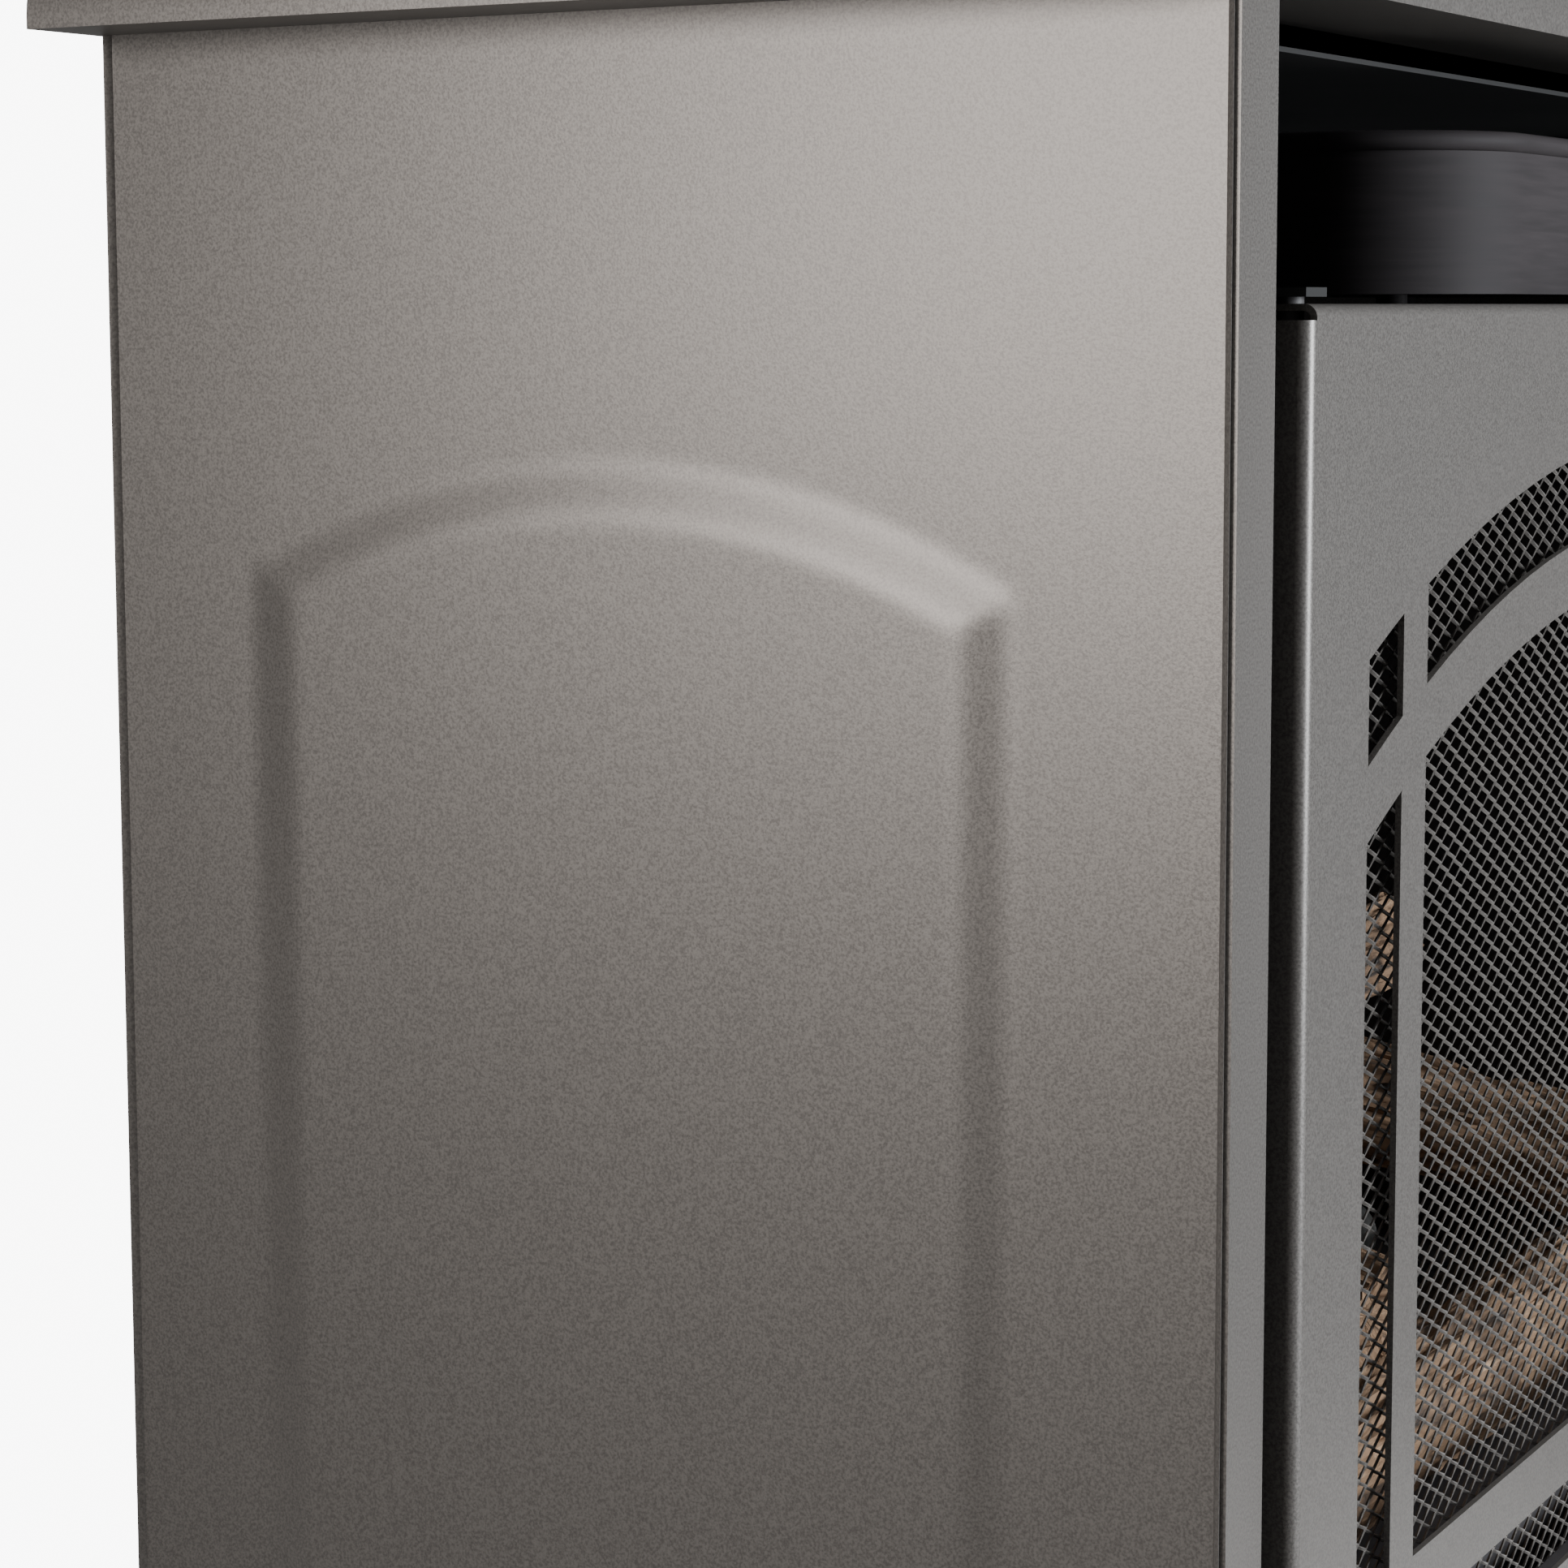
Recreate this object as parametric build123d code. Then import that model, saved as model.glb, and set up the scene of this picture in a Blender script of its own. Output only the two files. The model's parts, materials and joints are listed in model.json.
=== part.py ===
from build123d import *
from math import cos, radians, sin, sqrt
import os

# Free-standing gas log stove: a folded sheet-steel cabinet on four feet, a hinged screen door with a
# laser-cut arch pattern over expanded metal, a drop-down control door, a black firebox with a ceramic
# log set, and the gas train below it.  Millimetres.  Origin on the floor under the middle of the case,
# X to the right, -Y to the front, +Z up.

# ---- case -------------------------------------------------------------------------------------------
CASE_W = 570.0              # across the side panels
CASE_FRONT = -148.0         # plane of the front flanges and both doors
CASE_BACK = 152.0           # plane of the rear flanges
CASE_TOP = 626.0            # upper edge of the side panels, underside of the top plate
FOOT_H = 48.0               # floor to the lower edge of the base
BASE_H = 18.0
SHEET = 1.5                 # case and door sheet
LINER = 1.2                 # firebox and back sheet
BEND_R = 2.0                # outside bend of the side panels
FLANGE = 25.0               # front and rear flanges of the side panels
FOOT_INSET_X = 40.0         # foot axis from the side of the case
FOOT_INSET_Y = 32.0         # foot axis from the front and back of the case
FOOT_PAD_R = 19.0
FOOT_PAD_H = 6.0
BACK_SCREW_ROWS = 4
LOUVRE_ROWS = 6
LOUVRE_PITCH = 18.0
LOUVRE_HALF = 36.0
LOUVRE_H = 6.0

# ---- top plate --------------------------------------------------------------------------------------
TOP_H = 24.0
TOP_SIDE_LAP = 25.0
TOP_FRONT_LAP = 4.0
TOP_CORNER_R = 40.0
TOP_NOSE_R = 21.0           # rounding of the rim under the top face
TOP_SHEET = 2.0
TOP_LIP = 45.0              # width of the turned-under lip

# ---- embossed arch on each side panel ---------------------------------------------------------------
ARCH_HALF = 101.0
ARCH_BEHIND = 4.0           # middle of the arch behind the middle of the panel
ARCH_LIFT = 69.0            # lower edge over the base
ARCH_DROP = 127.0           # upper corners under the top of the case
ARCH_R = 206.0
ARCH_BEVEL = 12.0
ARCH_RAISE = 2.6

# ---- doors ------------------------------------------------------------------------------------------
DOOR_SIDE_GAP = 10.0        # from a flange's edge to a door's edge
OUTLET_H = 65.5             # hot-air gap from the screen door to the top plate
DOOR_DEPTH = 15.0
DOOR_BEND_R = 3.0
DOOR_RELIEF = 3.5           # square relief notch at each corner
DOOR_SPLIT = 8.0            # gap between the two doors, and under the lower one
CONTROL_H = 108.0           # height of the control door
STILE = 38.0                # plain border beside the window
SILL = 35.0                 # plain border under the window
HEAD = 35.5                 # plain border over the top of the window's curve
WINDOW_R = 537.0            # curve of the window's upper edge
BAND = 22.0                 # width of the border openings
BAR = 16.0                  # width of the crossing bars
MESH_GAP = 3.0              # from the back of the door sheet to the mesh
MESH_T = 1.2
MESH_LAP = 12.0             # mesh beyond the window on every side
RETAINER_T = 1.5
RETAINER_W = 10.0

# ---- pivots -----------------------------------------------------------------------------------------
PIVOT_IN = 8.0              # pivot axis from a door's edge and from its face
PIN_R = 3.0
PIN_CLEAR = 0.05
PIN_IN = 10.0               # pin inside the door
BRACKET_T = 2.0
BRACKET_W = 12.0
BRACKET_LEG = 34.0
BRACKET_GAP = 1.5           # between a door's edge and its pivot bracket
ROD_R = 2.5

# ---- handle, catches --------------------------------------------------------------------------------
HANDLE_L = 90.0
HANDLE_R = 5.0
HANDLE_STAND = 24.0
POST_R = 4.5
POST_IN = 10.0              # post axis from the end of the grip
SCREW_R = 2.0
CATCH_GAP = 0.5
CATCH_W = 26.0

# ---- firebox ----------------------------------------------------------------------------------------
FIRE_SIDE_SPACE = 49.0      # from the side of the case to the firebox
FIRE_SETBACK = 22.0         # from the door plane to the firebox
FIRE_BACK_SPACE = 52.0      # from the firebox to the back of the case
FIRE_FLOOR_LIFT = 42.0      # firebox floor over the lower edge of the screen door
FIRE_TOP_DROP = 15.5        # firebox top under the upper edge of the screen door
FACE_LAP = 3.0              # the face frame's opening inside the firebox walls
SHIELD_DROP = 8.0           # heat shield under the top plate

# ---- hood -------------------------------------------------------------------------------------------
HOOD_HALF = 125.0
HOOD_SETBACK = 8.0
HOOD_DEPTH = 110.0
HOOD_R = 37.0
HOOD_TOP_DROP = 23.0        # hood's bead under the top plate
HOOD_CLEAR = 2.5            # over the door's upper edge
HOOD_LEG_R = 4.0
BEAD_R = 2.5

# ---- controls ---------------------------------------------------------------------------------------
PANEL_SETBACK = 48.0        # control bracket behind the door plane
PANEL_HALF = 90.0
PANEL_H = 94.0
CONTROL_LIFT = 54.0         # knob and button over the base
VALVE_X = 40.0
VALVE_W = 60.0
VALVE_D = 50.0
VALVE_H = 50.0
BUSH_R = 8.0
BUSH_L = 10.0
STEM_R = 4.0
STEM_IN = 10.0              # stem inside the valve body
STEM_IN_KNOB = 15.0
SLIDE_CLEAR = 0.05
PLUNGER_L = 18.0
PLUNGER_GAP = 0.3
PUSH = 3.0                  # travel of the pushed knob
KNOB_R = 20.0
KNOB_L = 20.0
KNOB_OFF = 8.0              # from the bush to the knob's back
KNOB_FLUTES = 16
FLUTE_R = 2.6
IGNITER_X = -45.0
IGNITER_R = 10.0
IGNITER_L = 40.0
NECK_L = 6.0
NECK_R = 9.0
BUTTON_R = 7.0
BUTTON_OUT = 12.0
BUTTON_IN = 6.0
BUTTON_TRAVEL = 6.0
END_CLEAR = 2.0             # left at the end of a blind bore at full travel

# ---- gas train --------------------------------------------------------------------------------------
REG_X = 120.0
REG_FORWARD = 62.0          # regulator's axis from the back of the case
REG_LIFT = 39.0             # regulator's middle over the base
REG_W = 44.0
REG_H = 34.0
REG_CAP_R = 29.0
INLET_R = 11.0
INLET_NUT_R = 14.0
INLET_BORE_R = 7.4          # tapping bore of a 3/8 inch pipe thread
INLET_BORE_L = 14.0
INLET_OUT = 25.0            # beyond the back of the case
SUPPLY_R = 4.75
MANIFOLD_R = 3.2
PILOT_TUBE_R = 2.4
LEAD_R = 1.6
TUBE_BEND = 12.0
LEAD_BEND = 9.0
HOLE_CLEAR = 1.0            # round a tube that passes through a sheet

# ---- burners, pilot ---------------------------------------------------------------------------------
BURNER_R = 11.0
BURNER_WALL = 1.2
BURNER_SIDE_SPACE = 66.0    # from a burner's end to the firebox side
BURNER_LIFT = 14.0          # burner axis over the firebox floor
BURNER_SETBACK = 62.0       # front burner behind the firebox's front edge
BURNER_PITCH = 64.0         # between the two burners
PORT_R = 1.1
PORT_COUNT = 17
PORT_MARGIN = 20.0
CROSS_R = 6.0
CROSS_OUT = 22.0
INJECTOR_L = 10.0
INJECTOR_RISE = 30.0        # manifold's upright beyond the burner's end
PILOT_BEHIND = 34.0         # pilot behind the front burner
PILOT_X = -40.0
PILOT_R = 5.0
PILOT_H = 28.0
ELECTRODE_X = -64.0
ELECTRODE_R = 3.2
THERMO_X = -14.0
THERMO_BEHIND = 6.0         # thermocouple behind the pilot
THERMO_R = 2.8
EMBER_H = 9.0
EMBER_SIDE_SPACE = 56.0     # from the ember bed to the firebox side
EMBER_GAP = 12.0            # between the ember bed and the pilot

# ---- logs: first end, other end, first and other radius --------------------------------------------
# x as laid out for LOG_SET_HALF, y from the firebox's front or, if negative, from its back, z over its floor
LOG_SET_HALF = 236.0
LOGS = {
    "front_log": [((-182, 27, 23.8), (184, 26, 22.8), 22.5, 21.5)],
    "rear_log": [((-205, -40, 35.8), (205, -44, 37.8), 35, 33)],
    "cross_log_left": [((-96, 14, 63.8), (-62, -28, 97.8), 18, 21)],
    "cross_log_right": [((92, 18, 65.8), (62, -22, 96.8), 20, 19)],
    "log_branches": [
        ((-168, 22, 58.8), (-140, -26, 88.8), 12, 13),
        ((160, 20, 57.8), (150, -30, 88.8), 12, 13),
    ],
    "top_log": [((-128, 90, 128.8), (150, 108, 118.8), 24, 19)],
}

# ---- derived ----------------------------------------------------------------------------------------
HALF = CASE_W / 2
INNER = HALF - SHEET
BASE_TOP = FOOT_H + BASE_H
TOP_Z = CASE_TOP + TOP_H
ARCH_Y = (CASE_FRONT + CASE_BACK) / 2 + ARCH_BEHIND
ARCH_BOTTOM = BASE_TOP + ARCH_LIFT
ARCH_CORNER_Z = CASE_TOP - ARCH_DROP
DOOR_HALF = HALF - FLANGE - DOOR_SIDE_GAP
CONTROL_BOTTOM = BASE_TOP + DOOR_SPLIT
CONTROL_TOP = CONTROL_BOTTOM + CONTROL_H
DOOR_BOTTOM = CONTROL_TOP + DOOR_SPLIT
DOOR_TOP = CASE_TOP - OUTLET_H
DOOR_BACK = CASE_FRONT + DOOR_DEPTH
WINDOW_HALF = DOOR_HALF - STILE
WINDOW_BOTTOM = DOOR_BOTTOM + SILL
WINDOW_TOP = DOOR_TOP - HEAD
ARC_CENTRE_Z = WINDOW_TOP - WINDOW_R
MESH_Y = CASE_FRONT + SHEET + MESH_GAP
HANDLE_X = (WINDOW_HALF + DOOR_HALF) / 2
HANDLE_Z = (DOOR_BOTTOM + DOOR_TOP) / 2
HANDLE_POSTS = (HANDLE_Z - HANDLE_L / 2 + POST_IN, HANDLE_Z + HANDLE_L / 2 - POST_IN)
PIVOT_X = -DOOR_HALF + PIVOT_IN
PIVOT_Y = CASE_FRONT + PIVOT_IN
ROD_Z = CONTROL_BOTTOM + PIVOT_IN
FIRE_HALF = HALF - FIRE_SIDE_SPACE
FIRE_FRONT = CASE_FRONT + FIRE_SETBACK
FIRE_BACK = CASE_BACK - FIRE_BACK_SPACE
FIRE_FLOOR = DOOR_BOTTOM + FIRE_FLOOR_LIFT
FIRE_DECK = FIRE_FLOOR + LINER
FIRE_TOP = DOOR_TOP - FIRE_TOP_DROP
BURNER_HALF = FIRE_HALF - BURNER_SIDE_SPACE
EMBER_HALF = FIRE_HALF - EMBER_SIDE_SPACE
FACE_FRONT = FIRE_FRONT - LINER
FACE_BOTTOM = CONTROL_TOP - 1
HOOD_FRONT = CASE_FRONT + HOOD_SETBACK
HOOD_BACK = HOOD_FRONT + HOOD_DEPTH
HOOD_TOP = CASE_TOP - HOOD_TOP_DROP
HOOD_BOTTOM = DOOR_TOP + HOOD_CLEAR
PANEL_Y = CASE_FRONT + PANEL_SETBACK
PANEL_TOP = BASE_TOP + PANEL_H
CONTROL_Z = BASE_TOP + CONTROL_LIFT
VALVE_FRONT = PANEL_Y + SHEET
VALVE_BACK = VALVE_FRONT + VALVE_D
VALVE_TOP = CONTROL_Z + VALVE_H / 2
BUSH_FRONT = PANEL_Y - BUSH_L
KNOB_BACK = BUSH_FRONT - KNOB_OFF
KNOB_FRONT = KNOB_BACK - KNOB_L
STEM_FRONT = KNOB_BACK - STEM_IN_KNOB
STEM_BACK = VALVE_FRONT + STEM_IN
BUTTON_MOUTH = PANEL_Y - NECK_L
REG_Y = CASE_BACK - REG_FORWARD
REG_Z = BASE_TOP + REG_LIFT
BURNER_Z = FIRE_DECK + BURNER_LIFT
FRONT_BURNER_Y = FIRE_FRONT + BURNER_SETBACK
REAR_BURNER_Y = FRONT_BURNER_Y + BURNER_PITCH
PILOT_Y = FRONT_BURNER_Y + PILOT_BEHIND
THERMO_Y = PILOT_Y + THERMO_BEHIND
FOOT_XS = (-HALF + FOOT_INSET_X, HALF - FOOT_INSET_X)
FOOT_YS = (CASE_FRONT + FOOT_INSET_Y, CASE_BACK - FOOT_INSET_Y)
FOOT_POINTS = [(x, y) for x in FOOT_XS for y in FOOT_YS]
SCREW_STEP = (CASE_TOP - BASE_TOP - 110) / (BACK_SCREW_ROWS - 1)
SCREW_ROWS = [BASE_TOP + 34 + SCREW_STEP * i for i in range(BACK_SCREW_ROWS)]
BACK_SCREWS = [(x, z) for x in (-HALF + FLANGE / 2, HALF - FLANGE / 2) for z in SCREW_ROWS]


def block(x0, x1, y0, y1, z0, z1):
    centre = Pos((x0 + x1) / 2, (y0 + y1) / 2, (z0 + z1) / 2)
    return centre * Box(abs(x1 - x0), abs(y1 - y0), abs(z1 - z0))


def rod_x(r, x0, x1, y, z):
    return Pos((x0 + x1) / 2, y, z) * Rot(0, 90, 0) * Cylinder(r, abs(x1 - x0))


def rod_y(r, y0, y1, x, z):
    return Pos(x, (y0 + y1) / 2, z) * Rot(90, 0, 0) * Cylinder(r, abs(y1 - y0))


def rod_z(r, z0, z1, x, y):
    return Pos(x, y, (z0 + z1) / 2) * Cylinder(r, abs(z1 - z0))


def rod_between(start, end, r0, r1):
    """A tapered round bar from start to end with softened ends."""
    axis = Vector(*end) - Vector(*start)
    plane = Plane(origin=start, z_dir=axis)
    bar = plane * Pos(0, 0, axis.length / 2) * Cone(r0, r1, axis.length)
    ends = bar.edges().filter_by(GeomType.CIRCLE)
    return fillet(ends, min(r0, r1) * 0.2)


def tube(points, r, bend):
    """A round tube along straight runs joined by tangent arcs."""
    path = FilletPolyline(*points, radius=bend)
    start = Vector(*points[0])
    plane = Plane(origin=start, z_dir=Vector(*points[1]) - start)
    return sweep(plane * Circle(r), path=path)


def window_cells():
    """The nine openings of the door: three columns crossed by three rows under concentric arcs."""
    front = CASE_FRONT - 1
    back = CASE_FRONT + SHEET + 1
    arcs = [WINDOW_R, WINDOW_R - BAND, WINDOW_R - BAND - BAR]
    discs = [rod_y(r, front, back, 0, ARC_CENTRE_Z) for r in arcs]
    cross_low = WINDOW_BOTTOM + BAND
    cross_high = cross_low + BAR
    inner = WINDOW_HALF - BAND
    cells = []
    for x0, x1 in [(-WINDOW_HALF, -inner), (-inner + BAR, inner - BAR), (inner, WINDOW_HALF)]:
        column = block(x0, x1, front, back, cross_high, DOOR_TOP)
        cells.append(column & (discs[0] - discs[1]))
        cells.append(column & discs[2])
        cells.append(block(x0, x1, front, back, WINDOW_BOTTOM, cross_low))
    return cells


def folded_tray(half, bottom, top, bend):
    """A sheet with its four edges turned back, open at the back, notched at the corners."""
    outer = block(-half, half, CASE_FRONT, DOOR_BACK, bottom, top)
    front = outer.faces().sort_by(Axis.Y)[0]
    outer = fillet(front.edges(), bend)
    inner = block(-half + SHEET, half - SHEET, CASE_FRONT + SHEET, DOOR_BACK + 1, bottom + SHEET, top - SHEET)
    inner_front = inner.faces().sort_by(Axis.Y)[0]
    inner = fillet(inner_front.edges(), bend - SHEET)
    tray = outer - inner
    for x in (-half, half):
        for z in (bottom, top):
            tray -= Pos(x, (CASE_FRONT + DOOR_BACK) / 2, z) * Box(
                2 * DOOR_RELIEF, 2 * DOOR_DEPTH, 2 * DOOR_RELIEF)
    return tray


def screw(x, y, z, direction, length):
    """A pan-head screw with its head's underside at the point and its shank along direction."""
    head = Pos(0, 0, -1.1) * Cylinder(2 * SCREW_R, 2.2)
    head = fillet(head.edges().sort_by(Axis.Z)[0], 0.9)
    slot = Pos(0, 0, -2.2) * Box(2.6 * SCREW_R, 0.8, 1.4)
    shank = Pos(0, 0, length / 2) * Cylinder(SCREW_R, length)
    return Plane(origin=(x, y, z), z_dir=direction) * (head - slot + shank)


# ---- case -------------------------------------------------------------------------------------------
def top_plate():
    half = HALF + TOP_SIDE_LAP
    front = CASE_FRONT - TOP_FRONT_LAP

    def slab(inset, z0, z1, corner, nose):
        body = block(-half + inset, half - inset, front + inset, CASE_BACK - inset, z0, z1)
        corners = body.edges().filter_by(Axis.Z).sort_by(Axis.Y)[:2]
        body = fillet(corners, corner - inset)
        rim = [e for e in body.edges() if abs(e.center().Y - (CASE_BACK - inset)) > 0.1]
        rim = [e for e in rim if abs(e.center().Z - z1) < 0.01]
        return fillet(rim, nose - inset)

    outer = slab(0, CASE_TOP, TOP_Z, TOP_CORNER_R, TOP_NOSE_R)
    inner = slab(TOP_SHEET, CASE_TOP + TOP_SHEET, TOP_Z - TOP_SHEET, TOP_CORNER_R, TOP_NOSE_R)
    well_half = half - TOP_LIP
    well = block(-well_half, well_half, front + TOP_LIP, CASE_BACK - TOP_LIP, CASE_TOP - 1, CASE_TOP + 5)
    return outer - inner - well


def arch_loft(x_plane):
    """The embossed arch as a solid standing out to the left of the given plane."""
    rise = ARCH_R - sqrt(ARCH_R ** 2 - ARCH_HALF ** 2)
    inner_half = ARCH_HALF - ARCH_BEVEL
    inner_r = ARCH_R - ARCH_BEVEL
    inner_rise = inner_r - sqrt(inner_r ** 2 - inner_half ** 2)
    inner_corner = ARCH_CORNER_Z + rise - ARCH_BEVEL - inner_rise

    def outline(x, half, bottom, corner, top):
        low_front = (x, ARCH_Y - half, bottom)
        high_front = (x, ARCH_Y - half, corner)
        high_back = (x, ARCH_Y + half, corner)
        low_back = (x, ARCH_Y + half, bottom)
        arc = ThreePointArc(high_front, (x, ARCH_Y, corner + top), high_back)
        sides = Polyline(high_back, low_back, low_front, high_front)
        return make_face([arc, sides])

    low = outline(x_plane, ARCH_HALF, ARCH_BOTTOM, ARCH_CORNER_Z, rise)
    high = outline(x_plane - ARCH_RAISE, inner_half, ARCH_BOTTOM + ARCH_BEVEL, inner_corner, inner_rise)
    return loft([low, high], ruled=True)


def side_panel_left():
    outer = block(-HALF, -HALF + FLANGE, CASE_FRONT, CASE_BACK, BASE_TOP, CASE_TOP)
    outer = fillet(outer.edges().filter_by(Axis.Z).sort_by(Axis.X)[:2], BEND_R)
    front = CASE_FRONT + SHEET
    back = CASE_BACK - SHEET
    inner = block(-INNER, -HALF + FLANGE + 1, front, back, BASE_TOP - 1, CASE_TOP + 1)
    inner = fillet(inner.edges().filter_by(Axis.Z).sort_by(Axis.X)[:2], BEND_R - SHEET)
    panel = outer - inner
    panel += block(-INNER - 0.2, -INNER + FLANGE, CASE_FRONT + 10, CASE_BACK - 10, BASE_TOP, BASE_TOP + SHEET)
    panel += arch_loft(-HALF)
    panel -= arch_loft(-INNER)
    for x, z in BACK_SCREWS:
        panel -= rod_y(SCREW_R, CASE_BACK - 6, CASE_BACK + 1, x, z)
    return panel


def louvre_slots():
    """The middle and the lower edge of every slot in the back."""
    upper = [(x, FIRE_TOP - 125) for x in (-150, -50, 50, 150)]
    lower = [(x, BASE_TOP + 24) for x in (-150, -50)]
    return [(x, z + LOUVRE_PITCH * row) for x, z in upper + lower for row in range(LOUVRE_ROWS)]


def back_panel():
    y1 = CASE_BACK - SHEET
    panel = block(-INNER + 1, INNER - 1, y1 - LINER, y1, BASE_TOP + SHEET + 1, CASE_TOP - 1)
    for x, z in louvre_slots():
        panel -= block(x - LOUVRE_HALF, x + LOUVRE_HALF, y1 - 5, y1 + 5, z, z + LOUVRE_H)
    for x, z in BACK_SCREWS:
        panel -= rod_y(SCREW_R, CASE_BACK - 6, CASE_BACK + 1, x, z)
    return panel - rod_y(INLET_R + 3, CASE_BACK - 8, CASE_BACK + 8, REG_X, REG_Z)


def back_screws():
    return Compound(children=[screw(x, CASE_BACK, z, (0, -1, 0), 8) for x, z in BACK_SCREWS])


def base_plate():
    outer = block(-HALF, HALF, CASE_FRONT, CASE_BACK, FOOT_H, BASE_TOP)
    outer = fillet(outer.edges().filter_by(Axis.Z), BEND_R + 1)
    inner = block(-INNER, INNER, CASE_FRONT + SHEET, CASE_BACK - SHEET, FOOT_H - 1, BASE_TOP - SHEET)
    tray = outer - inner
    for x, y in FOOT_POINTS:
        tray -= rod_z(SCREW_R, FOOT_H, BASE_TOP + 1, x, y)
    return tray


def feet():
    top = BASE_TOP - SHEET
    solids = []
    for x, y in FOOT_POINTS:
        pad = rod_z(FOOT_PAD_R, 0, FOOT_PAD_H, x, y)
        pad = fillet(pad.edges(), 1.5)
        stem = Pos(x, y, (top + FOOT_PAD_H) / 2) * Cone(12, 18, top - FOOT_PAD_H)
        foot = pad + stem - rod_z(SCREW_R, top - 14, top + 1, x, y)
        solids.append(foot)
    return Compound(children=solids)


def foot_screws():
    return Compound(children=[screw(x, y, BASE_TOP, (0, 0, -1), 14) for x, y in FOOT_POINTS])


# ---- firebox ----------------------------------------------------------------------------------------
def face_frame():
    frame = block(-INNER, INNER, FACE_FRONT, FIRE_FRONT, FACE_BOTTOM, FIRE_TOP + LINER)
    half = FIRE_HALF - FACE_LAP
    low = FIRE_FLOOR + FACE_LAP
    high = FIRE_TOP - FACE_LAP
    return frame - block(-half, half, FIRE_FRONT - 9, FIRE_FRONT + 9, low, high)


def floor_holes():
    upright = BURNER_HALF + INJECTOR_RISE
    front = rod_z(MANIFOLD_R + HOLE_CLEAR, FIRE_FLOOR - 5, FIRE_FLOOR + 5, upright, FRONT_BURNER_Y)
    pilot = rod_z(PILOT_TUBE_R + HOLE_CLEAR, FIRE_FLOOR - 5, FIRE_FLOOR + 5, PILOT_X, PILOT_Y)
    spark = rod_z(LEAD_R + HOLE_CLEAR, FIRE_FLOOR - 5, FIRE_FLOOR + 5, ELECTRODE_X, PILOT_Y)
    thermo = rod_z(LEAD_R + HOLE_CLEAR, FIRE_FLOOR - 5, FIRE_FLOOR + 5, THERMO_X, THERMO_Y)
    return front + pilot + spark + thermo


def firebox_floor():
    floor = block(-FIRE_HALF, FIRE_HALF, FIRE_FRONT, FIRE_BACK, FIRE_FLOOR, FIRE_DECK)
    return floor - floor_holes()


def firebox_side(sign):
    x0 = sign * FIRE_HALF
    return block(x0, x0 + sign * LINER, FIRE_FRONT, FIRE_BACK, FIRE_FLOOR, FIRE_TOP)


def firebox_back():
    half = FIRE_HALF + LINER
    return block(-half, half, FIRE_BACK, FIRE_BACK + LINER, FIRE_FLOOR, FIRE_TOP)


def firebox_top():
    half = FIRE_HALF + LINER
    return block(-half, half, FIRE_FRONT, FIRE_BACK + LINER, FIRE_TOP, FIRE_TOP + LINER)


def heat_shield():
    z = CASE_TOP - SHIELD_DROP
    return block(-INNER, INNER, FIRE_FRONT + 10, CASE_BACK - 10, z, z + LINER)


def hood():
    def footprint(inset, z0, z1):
        body = block(-HOOD_HALF + inset, HOOD_HALF - inset, HOOD_FRONT + inset, HOOD_BACK + inset, z0, z1)
        return fillet(body.edges().filter_by(Axis.Z).sort_by(Axis.Y)[:2], HOOD_R - inset)

    bead_z = HOOD_TOP - BEAD_R
    shell = footprint(0, HOOD_BOTTOM, bead_z) - footprint(LINER, HOOD_BOTTOM + LINER, HOOD_TOP + 1)
    x = HOOD_HALF - LINER / 2
    y = HOOD_FRONT + LINER / 2
    points = [(-x, HOOD_BACK, bead_z), (-x, y, bead_z), (x, y, bead_z), (x, HOOD_BACK, bead_z)]
    shell += tube(points, BEAD_R, HOOD_R - LINER / 2)
    for leg_x in (-HOOD_HALF * 0.7, HOOD_HALF * 0.7):
        for leg_y in (FIRE_FRONT + 20, HOOD_BACK - 15):
            shell += rod_z(HOOD_LEG_R, FIRE_TOP + LINER, HOOD_BOTTOM + LINER / 2, leg_x, leg_y)
    return shell


# ---- screen door ------------------------------------------------------------------------------------
def screen_door():
    door = folded_tray(DOOR_HALF, DOOR_BOTTOM, DOOR_TOP, DOOR_BEND_R)
    for cell in window_cells():
        door -= cell
    door -= rod_z(PIN_R, DOOR_BOTTOM - 1, DOOR_TOP + 1, PIVOT_X, PIVOT_Y)
    for z in HANDLE_POSTS:
        door -= rod_y(SCREW_R, CASE_FRONT - 1, CASE_FRONT + SHEET + 1, HANDLE_X, z)
    return door


def mesh_area(y0, y1, lap):
    half = WINDOW_HALF + lap
    return block(-half, half, y0, y1, WINDOW_BOTTOM - lap, WINDOW_TOP + lap)


def mesh_frame():
    y0 = CASE_FRONT + SHEET
    ring = mesh_area(y0, MESH_Y, MESH_LAP)
    disc = rod_y(WINDOW_R, y0 - 1, MESH_Y + 1, 0, ARC_CENTRE_Z)
    return ring - (mesh_area(y0 - 1, MESH_Y + 1, 0) & disc)


def door_mesh():
    return mesh_area(MESH_Y, MESH_Y + MESH_T, MESH_LAP)


def mesh_retainers():
    y0 = MESH_Y + MESH_T
    y1 = y0 + RETAINER_T
    half = WINDOW_HALF + MESH_LAP
    low = WINDOW_BOTTOM - MESH_LAP
    high = WINDOW_TOP + MESH_LAP
    w = RETAINER_W
    strips = [
        block(-half, half, y0, y1, low, low + w),
        block(-half, half, y0, y1, high - w, high),
        block(-half, -half + w, y0, y1, low + w, high - w),
        block(half - w, half, y0, y1, low + w, high - w),
    ]
    return Compound(children=strips)


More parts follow.
